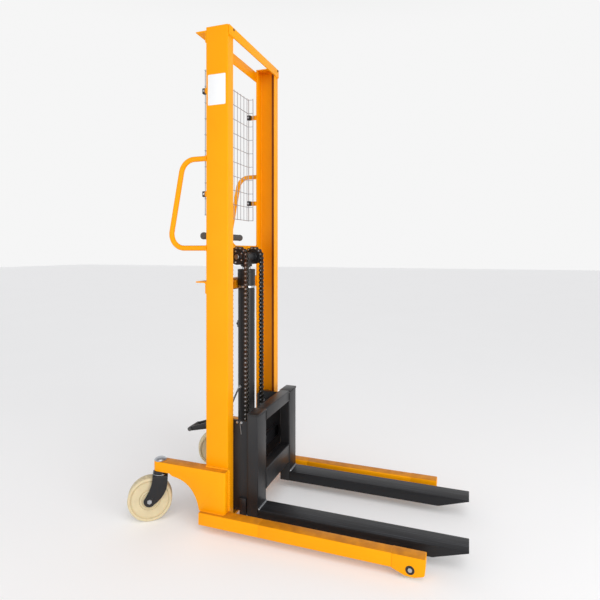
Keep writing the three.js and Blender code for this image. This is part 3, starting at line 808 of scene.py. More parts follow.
def angle_iron(low, high, thickness=6):
    """A rolled angle along Y, its level leg on top and its upright leg in front."""
    outline = rounded(
        [(high.x, high.z), (low.x, high.z), (low.x, high.z - thickness),
         (high.x - thickness, high.z - thickness), (high.x - thickness, low.z),
         (high.x, low.z)], [2, 1.5, 3, 6, 3, 1.5])
    return moved(plate(outline, high.y - low.y, 0.8), at(0, (low.y + high.y) / 2, 0, SIDE_ON))


class STACKER_OT_cross_members(bpy.types.Operator):
    """The bar, angles and plates that tie the two channels together"""
    bl_idname = "stacker.cross_members"
    bl_label = "Cross members"

    bar_screws = (-227, 252)  # along Y, near the bar's top edge
    saddle_depth, saddle_width, saddle_bolts = 17, 60, (-18, 18)

    def execute(self, context):
        edge, thread = sizes()["edge"], sizes()["bolt"]
        lip = abs(span("right_upright")[1].y)

        low, high = span("top_front_bar")
        bar = Piece("top_tie_bar").add(block(low, high, edge), ORANGE)
        for y in self.bar_screws:
            screw = lathe([(0, -2), (thread * 0.55, -2), (thread * 0.55, 1),
                           (thread * 0.35, 2.2), (0, 2.5)], 20)
            bar.add(screw, OXIDE, at(high.x, y, high.z - 8, facing(1, 0, 0)))
        for side in (-1, 1):
            bar.add(weld((low.x, side * lip, low.z), (low.x, side * high.y, low.z)), ORANGE)
        bar.mount("frame", "orange_paint", "top_front_bar")

        for node, name in (("top_rear_angle", "top_angle_iron"),
                           ("cylinder_clamp_angle", "cylinder_angle_iron")):
            low, high = span(node)
            iron = Piece(name).add(angle_iron(low, high), ORANGE)
            for side in (-1, 1):
                iron.add(weld((high.x, side * lip, low.z), (high.x, side * high.y, low.z)), ORANGE)
                iron.add(weld((high.x - 2, side * lip, high.z), (high.x - 2, side * lip, low.z)),
                         ORANGE)
            if node == "cylinder_clamp_angle":
                iron.add(block((high.x - 1, -self.saddle_width / 2, low.z + 8),
                               (self.saddle_depth, self.saddle_width / 2, high.z - 6), 2), ORANGE)
                for y in self.saddle_bolts:
                    iron.add(bolt_head(thread), ZINC,
                             at(high.x - 6, y, (low.z + high.z) / 2, facing(-1, 0, 0)))
            iron.mount("frame", "orange_paint", node)

        low, high = span("upper_rear_plate")
        tie = Piece("rear_tie_plate").add(block(low, high, edge), ORANGE)
        for side in (-1, 1):
            for z in (low.z, high.z):
                tie.add(weld((high.x, side * lip, z), (high.x, side * high.y, z)), ORANGE)
        tie.mount("frame", "orange_paint", "upper_rear_plate")

        low, high = span("base_plate")
        tongue = span("pump_body")[1].y + 12
        outline = rounded([(0, low.y), (high.x, low.y), (high.x, high.y), (0, high.y),
                           (0, tongue), (low.x, tongue), (low.x, -tongue), (0, -tongue)],
                          [2, 2, 2, 2, 6, 12, 12, 6])
        foot = Piece("mast_foot_plate")
        foot.add(plate(outline, high.z - low.z, edge), ORANGE, at(0, 0, (low.z + high.z) / 2))
        for side in (-1, 1):
            foot.add(weld((4, side * high.y, high.z), (high.x - 4, side * high.y, high.z)), ORANGE)
        foot.mount("frame", "orange_paint", "base_plate")
        return {"FINISHED"}


# ---- legs, rollers and casters ---------------------------------------------------------------


class STACKER_OT_legs(bpy.types.Operator):
    """Two square-tube legs with their welded noses and roller axles"""
    bl_idname = "stacker.legs"
    bl_label = "Legs"

    nose, splice, cheek, pin = 116, 257, 5, 8

    def execute(self, context):
        corner = sizes()["tube_corner"]
        floor_gap = span("right_upright")[0].z
        for name, _ in SIDES:
            low, high = span(f"{name}_leg")
            axle = pivot(f"{name}_load_roller_spin")
            middle, width = (low.y + high.y) / 2, high.y - low.y
            start, top = high.x - self.nose, high.z
            section = rounded([(low.y, floor_gap), (high.y, floor_gap), (high.y, top),
                               (low.y, top)], corner)
            leg = Piece(f"{name}_straddle_leg")
            for x0, x1 in ((low.x, self.splice), (self.splice, start)):
                leg.add(plate(section, x1 - x0, 0.7), ORANGE, at((x0 + x1) / 2, 0, 0, END_ON))
            profile = rounded(
                [(start, floor_gap), (axle.x - 18, low.z), (axle.x + 18, low.z),
                 (high.x - 3, low.z + 10), (high.x, top - 24), (high.x, top), (start, top)],
                [0, 8, 14, 8, 20, 3, 0])
            nose = moved(plate(profile, width, 2.2, steps=2), at(0, middle, 0, SIDE_ON))
            reach = span(f"{name}_load_roller")[1].z / 2 + 5
            pocket = block((axle.x - reach, low.y + self.cheek, -5),
                           (axle.x + reach, high.y - self.cheek, axle.z + reach - 1), 2)
            leg.add(combined(nose, pocket, "DIFFERENCE"), ORANGE)
            leg.add(rod(self.pin, -width / 2, width / 2), STEEL,
                    at(axle.x, middle, axle.z, ACROSS))
            for face in (low.y, high.y):
                out = math.copysign(1, face - middle)
                place = at(axle.x, face, axle.z, facing(0, out, 0))
                leg.add(lathe([(0, -1), (15.5, -1), (15.5, 0.7), (14.5, 1.2), (9.5, 1.2),
                               (9, 0.4), (0, 0.4)], 32), OXIDE, place)
                leg.add(button(self.pin - 0.5, 0, 2.2), ZINC, place)
            web = near_and_far(low, high)[0]
            leg.add(weld((102, web, floor_gap + 2), (102, web, top)), ORANGE)
            leg.mount("frame", "orange_paint", f"{name}_leg")
        return {"FINISHED"}


class STACKER_OT_load_rollers(bpy.types.Operator):
    """The nylon rollers in the noses of the legs, on their ball bearings"""
    bl_idname = "stacker.load_rollers"
    bl_label = "Load rollers"

    def execute(self, context):
        for name, _ in SIDES:
            low, high = span(f"{name}_load_roller")
            rim, half = high.z / 2, (high.y - low.y) / 2
            centre = pivot(f"{name}_load_roller_spin")
            place = at(*centre, ACROSS)
            roller = Piece(f"{name}_fork_roller")
            face = [(17, half - 2), (19, half), (rim - 3, half), (rim - 1, half - 1),
                    (rim - 0.2, half - 3)]
            roller.add(lathe(face + mirrored(face), 40), NYLON, place)
            roller.add(tread(rim, half - 4), TREAD, place)
            roller.add(bearing(9, 17.2, half - 1.5), STEEL, place)
            roller.mount(f"{name}_load_roller", "cream_nylon", f"{name}_load_roller")
        return {"FINISHED"}


class STACKER_OT_caster_brackets(bpy.types.Operator):
    """The arched brackets that carry the swivel casters behind the mast"""
    bl_idname = "stacker.caster_brackets"
    bl_label = "Caster brackets"

    arch_rise = 9  # the arch starts this far below the flat underside

    def execute(self, context):
        for name, side in SIDES:
            low, high = span(f"{name}_caster_bracket")
            inner, outer = near_and_far(low, high)
            swivel = pivot(f"{name}_caster_swivel")
            width = abs(outer - inner)
            web = near_and_far(*span(f"{name}_leg"))[0]
            shoulder = (swivel.x + 60, swivel.z)
            crown = (swivel.x + 73, swivel.z - self.arch_rise)
            toe = (-14, low.z)
            elevation = [(low.x, swivel.z), shoulder, crown,
                         *parabola(crown, (-34, swivel.z - 17), toe), (high.x, low.z),
                         (high.x, high.z), (low.x, high.z)]
            plan = [(-0.3, inner), (-0.3, web), (high.x, web)]
            plan += arc(high.x - 6, outer - side * 6, 6, 0, side * 90, 5)
            plan += arc(swivel.x, swivel.y, width / 2, side * 90, side * 270, 20)
            body = moved(plate(elevation, 2 * width, 0),
                         at(0, (inner + outer) / 2, 0, SIDE_ON))
            limit = moved(plate(plan, 300, 0), at(0, 0, (low.z + high.z) / 2))
            bracket = Piece(f"{name}_caster_arm")
            bracket.add(combined(body, limit, "INTERSECT", 2), ORANGE)
            cap = lathe([(0, 10.5), (9, 10), (17, 8.4), (22, 5.6), (24, 2.4), (25.2, 1.6),
                         (25.2, 0), (0, 0)], 48)
            bracket.add(cap, ZINC, at(swivel.x, swivel.y, high.z))
            bracket.add(weld((1, web, high.z), (high.x - 6, web, high.z),
                             (high.x, web, high.z - 6), (high.x, web, low.z), size=2), ORANGE)
            bracket.add(weld((high.x - 4, outer, low.z), (-10, outer, low.z)), ORANGE)
            bracket.mount("frame", "orange_paint", f"{name}_caster_bracket")
        return {"FINISHED"}


class STACKER_OT_casters(bpy.types.Operator):
    """The swivelling yokes and their cast wheels"""
    bl_idname = "stacker.casters"
    bl_label = "Casters"

    wall, shoulder = 6, 9  # thickness of the pressed yoke, and its outer bend
    gap, eye, foot = 29, 24, 40  # half the space inside, the axle's eye, the cheeks' lowest level
    half_hub, web_face = 24, 20.3  # of the wheel, from its middle plane

    def execute(self, context):
        for name, _ in SIDES:
            swivel, axle = pivot(f"{name}_caster_swivel"), pivot(f"{name}_caster_spin")
            trail = (axle.xy - swivel.xy).length
            turn = math.atan2(swivel.y - axle.y, swivel.x - axle.x)
            place = at(swivel.x, swivel.y, 0, Matrix.Rotation(turn, 4, "Z"))
            self.yoke(name, place, trail, axle.z, swivel.z)
            self.wheel(name, place @ at(-trail, 0, axle.z, ACROSS), axle.z)
        return {"FINISHED"}

    def yoke(self, name, place, trail, height, underside):
        """A pressed yoke, cut to its outline, with its swivel race, axle and nuts."""
        crown = underside - 14.3
        inside, outside = self.gap, self.gap + self.wall
        eye, foot = self.eye, self.foot
        section = rounded(
            [(-outside, foot), (-outside, crown), (outside, crown), (outside, foot),
             (inside, foot), (inside, crown - self.wall), (-inside, crown - self.wall),
             (-inside, foot)],
            [0, self.shoulder, self.shoulder, 0, 0, 3, 3, 0])
        pressed = moved(plate(section, 200, 0), at(0, 0, 0, END_ON))
        top = crown + 5
        back, front = (-31, crown - 8), (31, crown - 8)
        outline = [(-31, top), back, *parabola(back, (-34, height + 50),
                                               (-trail - eye * 0.96, height + 6), 10)]
        outline += arc(-trail, height, eye, 164, 322, 16)[1:]
        outline += [*parabola(outline[-1], (24, height + 16), (29, height + 66), 12), front,
                    (31, top)]
        limit = moved(plate(outline, 200, 0), at(0, 0, 0, SIDE_ON))
        fork = Piece(f"{name}_caster_yoke")
        fork.add(combined(pressed, limit, "INTERSECT", 0.9), BLACK, place)
        race = lathe([(0, underside - 0.4), (22, underside - 0.4), (26, underside - 2),
                      (28, underside - 6), (28.6, underside - 9), (27, underside - 11),
                      (30, underside - 12), (30, crown - 0.5), (0, crown - 0.5)], 48)
        fork.add(race, BLACK, place)
        shield = lathe([(26, crown + 1.6), (30.6, crown + 1.6), (31, crown + 1),
                        (31, crown - 0.2), (26, crown - 0.2)], 48)
        fork.add(shield, ZINC, place)
        for out in (-1, 1):
            end = place @ at(-trail, out * outside, height, facing(0, out, 0))
            fork.add(button(16, -1, 1.4, sides=32), BLACK, end)
            fork.add(hexagon(19, 1.2, 4.8), ZINC, end)
        fork.add(rod(7.6, -outside, outside, 20), STEEL,
                 place @ at(-trail, 0, height, ACROSS))
        fork.mount(f"{name}_caster", "black_paint", f"{name}_caster_fork")

    def wheel(self, name, place, rim):
        """A turned wheel with grooved faces, its worn tread and its bearing."""
        half, sunk = self.half_hub, self.web_face
        face = [(18.6, half - 1.5), (20, half), (30, half), (30.8, half - 2.6),
                (32.6, half - 2.6), (33.4, half - 0.4), (38, half - 0.4), (39.6, half - 1.6),
                (40.4, sunk - 1.8), (42.6, sunk - 1.8), (43.6, sunk), (73.6, sunk),
                (74.6, sunk - 2.2), (76.8, sunk - 2.2), (78.2, sunk + 0.4), (79.4, half - 0.8),
                (80.6, half), (rim - 6, half), (rim - 3, half - 0.9), (rim - 1.2, half - 2.6),
                (rim - 0.4, half - 5)]
        wheel = Piece(f"{name}_nylon_wheel")
        wheel.add(lathe(face + mirrored(face), 72), NYLON, place)
        wheel.add(tread(rim, half - 6.5), TREAD, place)
        wheel.add(bearing(8.6, 18.8, half - 2.2), STEEL, place)
        wheel.mount(f"{name}_caster_wheel", "cream_nylon", f"{name}_caster_wheel")


# ---- handles and guard -----------------------------------------------------------------------


class STACKER_OT_handles(bpy.types.Operator):
    """The two bent-tube grab handles welded behind the mast"""
    bl_idname = "stacker.handles"
    bl_label = "Grab handles"

    reach, upper_bend, lower_bend = 101, 62, 60  # how far the upper corner stands back

    def execute(self, context):
        for name, _ in SIDES:
            low, high = span(f"{name}_handle")
            diameter = high.y - low.y
            y, r = (low.y + high.y) / 2, diameter / 2
            top, bottom = high.z - r, low.z + r
            points = [(high.x, y, top), (high.x - self.reach - r, y, top),
                      (low.x + r, y, bottom), (high.x, y, bottom)]
            handle = Piece(f"{name}_grab_handle")
            handle.add(tube(points, diameter, [self.upper_bend, self.lower_bend], 28), ORANGE)
            for z in (top, bottom):
                handle.add(weld_ring(at(-0.6, y, z, END_ON), r + 0.5, 10), ORANGE)
            handle.mount("frame", "orange_paint", f"{name}_handle")
        return {"FINISHED"}


class STACKER_OT_guard(bpy.types.Operator):
    """The welded wire guard, its orange tabs and its black clips"""
    bl_idname = "stacker.guard"
    bl_label = "Wire guard"

    tab_heights = (1372, 1808)
    half_width, front, bend = 216, -14, 5

    def execute(self, context):
        chosen = sizes()
        low, high = span("mesh_guard")
        half, wire, turn = self.half_width, chosen["wire"], self.bend
        front, back = self.front, low.x + wire / 2
        rows = chosen["guard_rows"]
        bottom, top = low.z + 3, high.z - 4
        guard = Piece("wire_guard")
        edge = half - wire / 2
        for row in range(rows):
            z = bottom + (top - bottom) * row / (rows - 1)
            points = [(front, -edge, z), (back, -edge, z), (back, edge, z), (front, edge, z)]
            guard.add(tube(points, wire, [turn, turn], 8), ZINC)
        count = int((half - turn) / chosen["wire_pitch"])
        lines = [((i + 0.5) * chosen["wire_pitch"], back + wire * 0.9, wire)
                 for i in range(count)]
        lines += [(edge - wire * 0.9, back + wire, wire + 1), (edge - wire, front + 1, wire + 1)]
        for y, x, thick in lines:
            for side in (-1, 1):
                guard.add(tube([(x, side * y, low.z), (x, side * y, high.z)], thick, sides=8),
                          ZINC)
        for side in (-1, 1):
            for z in self.tab_heights:
                self.clip(guard, side, z, back)
        guard.mount("frame", "zinc_wire", "mesh_guard")
        return {"FINISHED"}

    def clip(self, guard, side, z, back):
        """An orange tab on the channel's rear flange, and the black clamp on its end."""
        guard.add(block((-4.5, side * 214, z - 11), (-0.4, side * 241, z + 11), 1), ORANGE)
        guard.add(block((back + 8, side * 220, z - 11), (-2, side * 224.5, z + 11), 1), ORANGE)
        guard.add(bolt_head(6), ZINC, at(-4.5, side * 233, z, facing(-1, 0, 0)))
        guard.add(block((back - 6, side * 206, z - 12), (back + 15, side * 223, z + 12), 2.5),
                  OXIDE)
        for y, out in ((223, side), (206, -side)):
            guard.add(bolt_head(5), ZINC, at(back + 4, side * y, z, facing(0, out, 0)))


# ---- lift cylinder and chains ----------------------------------------------------------------


class STACKER_OT_cylinder(bpy.types.Operator):
    """The lift cylinder's barrel and its screwed gland"""
    bl_idname = "stacker.cylinder"
    bl_label = "Lift cylinder"

    air_screw = 796  # height of its boss

    def execute(self, context):
        low, high = span("cylinder_barrel")
        radius, x = (high.y - low.y) / 2, (low.x + high.x) / 2
        barrel = Piece("lift_cylinder_barrel")
        barrel.add(lathe([(0, low.z), (radius - 2, low.z), (radius, low.z + 2),
                          (radius, high.z - 6), (radius - 1, high.z - 5), (radius - 1, high.z),
                          (27, high.z), (27, high.z - 30), (0, high.z - 30)], 64),
                   BLACK, at(x, 0, 0))
        barrel.add(weld_ring(at(x, 0, low.z + 0.5), radius + 0.5, 6), BLACK)
        barrel.add(block((x - radius - 3, -13, self.air_screw - 16),
                         (x - radius + 6, -1, self.air_screw + 16), 2), BLACK)
        barrel.add(bolt_head(6), OXIDE,
                   at(x - radius - 3, -7, self.air_screw, facing(-1, 0, 0)))
        barrel.mount("frame", "black_paint", "cylinder_barrel")

        low, high = span("cylinder_head")
        radius = (high.y - low.y) / 2
        ring_top = low.z + 10
        gland = Piece("cylinder_gland")
        gland.add(lathe([(21.5, ring_top - 0.2), (radius - 1.5, ring_top - 0.2),
                         (radius, ring_top + 1.5), (radius, high.z - 14),
                         (radius - 0.8, high.z - 13), (radius - 0.8, high.z - 11.6),
                         (radius, high.z - 10.6), (radius, high.z - 2), (radius - 2, high.z),
                         (30, high.z), (29, high.z - 2.5), (21.5, high.z - 2.5)], 64),
                  BLACK, at(x, 0, 0))
        gland.add(lathe([(21.5, low.z), (radius - 2.2, low.z), (radius - 1.4, low.z + 0.8),
                         (radius - 1.4, ring_top - 0.8), (radius - 2.2, ring_top),
                         (21.5, ring_top)], 64), ZINC, at(x, 0, 0))
        gland.add(lathe([(20.4, high.z - 3), (26, high.z - 3), (24, high.z - 0.4),
                         (21, high.z)], 48), RUBBER, at(x, 0, 0))
        for i in range(4):
            a = math.radians(45 + 90 * i)
            dimple = lathe([(0, 0), (3.2, 0), (3.2, 0.5), (2.2, -0.8), (0, -0.8)], 16)
            gland.add(dimple, OXIDE, at(x + radius * math.cos(a), radius * math.sin(a),
                                        high.z - 30, facing(math.cos(a), math.sin(a), 0)))
        gland.mount("frame", "black_paint", "cylinder_head")
        return {"FINISHED"}


class STACKER_OT_piston(bpy.types.Operator):
    """The chromed rod and the yoke on its end, with the chain wheels' shaft"""
    bl_idname = "stacker.piston"
    bl_label = "Piston"

    def execute(self, context):
        low, high = span("piston_rod")
        radius, x = (high.y - low.y) / 2, (low.x + high.x) / 2
        piston = Piece("chromed_piston_rod")
        piston.add(lathe([(0, low.z), (radius - 2, low.z), (radius, low.z + 2),
                          (radius, high.z - 3), (radius - 3, high.z), (0, high.z)], 64),
                   CHROME, at(x, 0, 0))
        piston.mount("piston", "chrome_rod", "piston_rod")

        low, high = span("wheel_yoke")
        shaft = pivot("chain_wheel_spin").z
        yoke = Piece("chain_wheel_yoke")
        yoke.add(lathe([(0, low.z), (24, low.z), (26, low.z + 2), (26, low.z + 12),
                        (24, low.z + 14), (0, low.z + 14)], 48), BLACK, at(x, 0, 0))
        web = [(-22, low.z + 12), (22, low.z + 12), (27, shaft), (-27, shaft)]
        yoke.add(plate(web, 28, 2.5), BLACK, at(x, 0, 0, END_ON))
        yoke.add(lathe([(0, -62), (18, -62), (20, -60), (20, 60), (18, 62), (0, 62)], 40),
                 BLACK, at(x, 0, shaft, ACROSS))
        yoke.add(weld_ring(at(x, 0, low.z + 14), 25, 8), BLACK)
        reach = high.y
        yoke.add(lathe([(0, -reach), (9.8, -reach), (11, -reach + 1.2), (11, reach - 1.2),
                        (9.8, reach), (0, reach)], 32),
                 STEEL, at(x, 0, shaft, ACROSS))
        for out in (-1, 1):
            clip = lathe([(10.5, -1), (15.5, -1), (15.5, 1), (10.5, 1)], 32)
            yoke.add(clip, OXIDE, at(x, out * (reach - 4.5), shaft, ACROSS))
        yoke.mount("piston", "black_paint", "wheel_yoke")
        return {"FINISHED"}


class STACKER_OT_chain_wheels(bpy.types.Operator):
    """The turned wheels that the lift chains run over"""
    bl_idname = "stacker.chain_wheels"
    bl_label = "Chain wheels"

    rivets, rivet_circle = 5, 25.5

    def execute(self, context):
        for name, side in SIDES:
            low, high = span(f"{name}_chain_wheel")
            rim, half = (high.x - low.x) / 2, (high.y - low.y) / 2
            bend, top = span(f"{name}_chain_bend")
            groove = (top.y - bend.y) / 2 + 1
            root = rim - 14
            place = at((low.x + high.x) / 2, (low.y + high.y) / 2, (low.z + high.z) / 2,
                       facing(0, side, 0))
            lip = rim - 7  # below the chain's pins, so that they show round the wheel
            face = [(root, groove - 1.5), (root + 1.5, groove), (lip - 1, groove),
                    (lip, groove + 1), (lip, half - 1), (lip - 1, half), (32.5, half),
                    (31.5, half - 1.6), (19.5, half - 1.6), (18, half), (11.8, half)]
            wheel = Piece(f"{name}_chain_pulley")
            wheel.add(lathe(face + mirrored(face), 64), BLACK, place)
            head = button(3.6, half - 2, half + 1.2, 0.8, 0.6, 16)
            for i in range(self.rivets):
                a = math.radians(18 + 360 * i / self.rivets)
                wheel.add(head, ZINC, place @ at(self.rivet_circle * math.cos(a),
                                                 self.rivet_circle * math.sin(a), 0))
            wheel.mount("chain_wheels", "black_paint", f"{name}_chain_wheel")
        return {"FINISHED"}


class STACKER_OT_chains(bpy.types.Operator):
    """The two roller chains, from the carriage over the wheels and down to the mast's foot"""
    bl_idname = "stacker.chains"
    bl_label = "Lift chains"

    plate_gauge, inner_at, outer_at = 1.9, 6.7, 8.9  # side plates, from the chain's middle

    def execute(self, context):
        self.pitch = sizes()["chain_pitch"]
        for name, _ in SIDES:
            front, front_top = span(f"{name}_front_chain")
            rear, rear_top = span(f"{name}_rear_chain")
            self.height, self.half = front_top.x - front.x, (front_top.y - front.y) / 2
            self.y = (front.y + front_top.y) / 2
            front_x, rear_x = (front.x + front_top.x) / 2, (rear.x + rear_top.x) / 2
            pins = self.route(front_x, rear_x, front.z, rear.z, front_top.z)
            on_front = [p for p in pins if p[0] > front_x - 0.01 and p[1] < front_top.z]
            first = len(on_front) - 1
            last = next(i for i, p in enumerate(pins) if i > first and p[0] < rear_x + 0.01
                        and p[1] <= front_top.z)
            rising = round(travel("piston_rise") / self.pitch)

            strand = self.run(f"{name}_front_chain_run", pins, 0, first)
            strand = strand.mount("carriage", "chain_steel", f"{name}_front_chain")
            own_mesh(strand)
            wrap = self.run(f"{name}_chain_wrap", pins, first, last)
            wrap.mount("piston", "chain_steel", f"{name}_chain_bend")
            tail = self.run(f"{name}_rear_chain_run", pins, last, len(pins) - 1)
            self.anchor_rod(tail, rear_x, rear.z)
            tail.mount("frame", "chain_steel", f"{name}_rear_chain")
            # This stretch hides inside the standing one until the wheels rise.
            hidden = self.run(f"{name}_rising_chain_run", pins, last, last + rising, slim=0.3)
            hidden.mount("piston", "chain_steel")
        return {"FINISHED"}

    def route(self, front_x, rear_x, front_low, rear_low, top):
        """Pin centres in X and Z, a pitch apart along the chain from its front end."""
        radius, middle = (front_x - rear_x) / 2, (front_x + rear_x) / 2
        rise = top - front_low - self.height / 2
        bend = math.pi * radius
        fall = top - rear_low - self.height / 2
        pins = []
        for i in range(int((rise + bend + fall) / self.pitch) + 1):
            s = i * self.pitch
            if s <= rise:
                pins.append((front_x, top - rise + s))
            elif s <= rise + bend:
                a = (s - rise) / radius
                pins.append((middle + radius * math.cos(a), top + radius * math.sin(a)))
            else:
                pins.append((rear_x, top - (s - rise - bend)))
        return pins

    def run(self, name, pins, first, last, slim=0.0):
        """The chain between two of its pins."""
        radius, gauge = self.height / 2 + 0.4 - slim, self.plate_gauge - slim
        outline = arc(0, 0, radius, 50, 310, 8) + [(self.pitch / 2, -0.55 * radius)]
        outline += arc(self.pitch, 0, radius, -130, 130, 8) + [(self.pitch / 2, 0.55 * radius)]
        link = prism(outline, gauge)
        length = self.half - slim
        end = length + 1.4
        pin = lathe([(0, -end), (2.4, 0.3 - end), (4, 1.2 - end), (4, 1.8 - end), (3, 2 - end),
                     (3, end - 2), (4, end - 1.8), (4, end - 1.2), (2.4, end - 0.3), (0, end)],
                    10)
        barrel = 5.6 - slim
        roller = rod(6 - slim, -barrel, barrel, 12)
        chain = Piece(name)
        for i in range(first, last):
            (x0, z0), (x1, z1) = pins[i], pins[i + 1]
            along = Vector((x1 - x0, 0, z1 - z0)).normalized()
            across = Vector((0, 1, 0))
            place = at(x0, self.y, z0, axes(along, across.cross(along), across))
            offset = self.outer_at if i % 2 else self.inner_at
            for out in (-offset, offset):
                chain.add(link, CHAIN, place @ at(0, 0, out))
        for x, z in pins[first:last + 1]:
            place = at(x, self.y, z, ACROSS)
            chain.add(pin, ZINC, place)
            chain.add(roller, CHAIN, place)
        return chain

    def anchor_rod(self, chain, x, z):
        """The clevis and threaded rod that hold the chain's rear end to the foot plate."""
        foot = span("base_plate")[1].z
        chain.add(block((x - 7, self.y - 5.4, z - 16), (x + 7, self.y + 5.4, z + 14), 2), OXIDE)
        chain.add(rod(6, foot - 1, z - 14, 20), STEEL, at(x, self.y, 0))
        chain.add(bolt_head(12), ZINC, at(x, self.y, foot))


# ---- pump and lever --------------------------------------------------------------------------


class STACKER_OT_pump(bpy.types.Operator):
    """The hand pump with its plunger, oil pipe and foot pedal"""
    bl_idname = "stacker.pump"
    bl_label = "Pump"

    plunger_x, neck = -46, 22
    block_top, cup = 175, 235  # heights
    coils = 5

    def execute(self, context):
        low, high = span("pump_body")
        pin = pivot("pump_stroke")
        top, cup, half = self.block_top, self.cup, high.y
        pump = Piece("hand_pump")
        pump.add(block((low.x, -half, low.z), (high.x, half, top), 5, 3), BLACK)
        pump.add(block((low.x + 8, -half + 6, top - 2), (-16, half - 6, top + 7), 2), BLACK)
        for x in (low.x + 15, -23):
            for y in (-half + 13, half - 13):
                pump.add(bolt_head(8), OXIDE, at(x, y, top + 7))
        base = top + 6
        pump.add(lathe([(0, base), (24, base), (24, base + 8), (self.neck, base + 10),
                        (self.neck - 3, base + 12), (0, base + 12)], 40),
                 BLACK, at(self.plunger_x, 0, 0))
        pump.add(rod(11, base, cup - 6, 32), CHROME, at(self.plunger_x, 0, 0))
        pump.add(lathe([(0, cup - 7), (20, cup - 7), (21, cup - 6), (21, cup - 3),
                        (16, cup), (0, cup)], 32), STEEL, at(self.plunger_x, 0, 0))
        rise, steps = cup - 9 - (base + 13), self.coils * 16
        spring = []
        for i in range(steps + 1):
            a = 2 * math.pi * i / 16
            spring.append(Vector((self.plunger_x + 16.5 * math.cos(a), 16.5 * math.sin(a),
                                  base + 13 + rise * i / steps)))
        pump.add(sweep(spring, [1.9] * len(spring), 8), STEEL)
        self.ears(pump, low, pin, top)
        for z in (80, 138):
            for out in (-1, 1):
                plug = together(rod(11, -1, 1.5), hexagon(15, 1.2, 5))
                pump.add(plug, ZINC, at(-72, out * half, z, facing(0, out, 0)))
        pump.mount("frame", "black_paint", "pump_body")
        self.pedal()
        self.pipe()
        return {"FINISHED"}

    def ears(self, pump, low, pin, top):
        """Two plates that hold the lever's pin."""
        outline = rounded([(low.x + 6, top - 4), (-24, top - 4), (pin.x + 20, pin.z + 8),
                           (pin.x + 16, pin.z + 20), (pin.x - 16, pin.z + 20),
                           (pin.x - 20, pin.z + 8)], [0, 0, 14, 14, 14, 14])
        for out in (-1, 1):
            pump.add(plate(outline, 8, 1.2), BLACK, at(0, out * 26, 0, SIDE_ON))
            pump.add(weld((low.x + 8, out * 31, top), (-26, out * 31, top)), BLACK)
            place = at(pin.x, out * 38.5, pin.z, facing(0, out, 0))
            pump.add(rod(12, 0, 1.4), ZINC, place)
            pump.add(button(7.5, 0, 2.9, drop=0.7), STEEL, place)
        pump.add(rod(7.8, -39, 39), STEEL, at(pin.x, 0, pin.z, ACROSS))

    def pedal(self):
        """The foot pedal: two arms from the lever's pin to a ribbed bar."""
        low, high = span("foot_pedal")
        pin = pivot("pump_stroke")
        tip = (low.x + 10, low.z + 10)
        tilt = math.degrees(math.atan2(pin.z - tip[1], pin.x - tip[0]))
        outline = arc(pin.x, pin.z, 17, tilt - 84, tilt + 84, 16)
        outline += arc(tip[0], tip[1], 9, tilt + 96, tilt + 264, 10)
        pedal = Piece("foot_pedal_lever")
        for out in (-1, 1):
            arm = plate(outline, 7.6, 1.2)
            pedal.add(arm, BLACK, at(0, out * 34.3, 0, SIDE_ON))
        web = [Vector((tip[0], 0, tip[1])).lerp(pin, share) for share in (0.28, 0.62)]
        rest = block((0, -31, -3), ((web[1] - web[0]).length, 31, 3), 1.5)
        pedal.add(rest, BLACK, at(*web[0], Matrix.Rotation(-math.radians(tilt), 4, "Y")))
        face, reach = [(0, -high.y), (8.4, -high.y), (9.6, 1.2 - high.y)], high.y
        count = 9
        for i in range(count):
            h = -reach + 4 + (2 * reach - 8) * i / (count - 1)
            face += [(9.9, h - 1.8), (9.9, h + 1.8), (8.7, h + 2.4), (8.7, h + 3.6)]
        face = [p for p in face if p[1] < reach - 1.5]
        face += [(9.6, reach - 1.2), (8.4, reach), (0, reach)]
        pedal.add(lathe(face, 28), RUBBER, at(tip[0], 0, tip[1], ACROSS))
        pedal.mount("frame", "black_paint", "foot_pedal")

    def pipe(self):
        """The zinc-plated oil line and its unions."""
        low, high = span("oil_pipe")
        r = 4
        y, root, x, z = low.y + r, low.z + r, high.x - r, high.z - r
        points = [(low.x + r, high.y, root), (low.x + r, y, root), (low.x + r, y, 360),
                  (x, y, z), (x, -36.6, z)]
        line = Piece("oil_line")
        line.add(tube(points, 2 * r, [8, 30, 9], 16), ZINC)
        line.add(hexagon(15, 0, 9), ZINC, at(low.x + r, -42, root, facing(0, -1, 0)))
        line.add(hexagon(15, 0, 9), ZINC, at(x, -36.8, z, facing(0, -1, 0)))
        line.mount("frame", "zinc_wire", "oil_pipe")


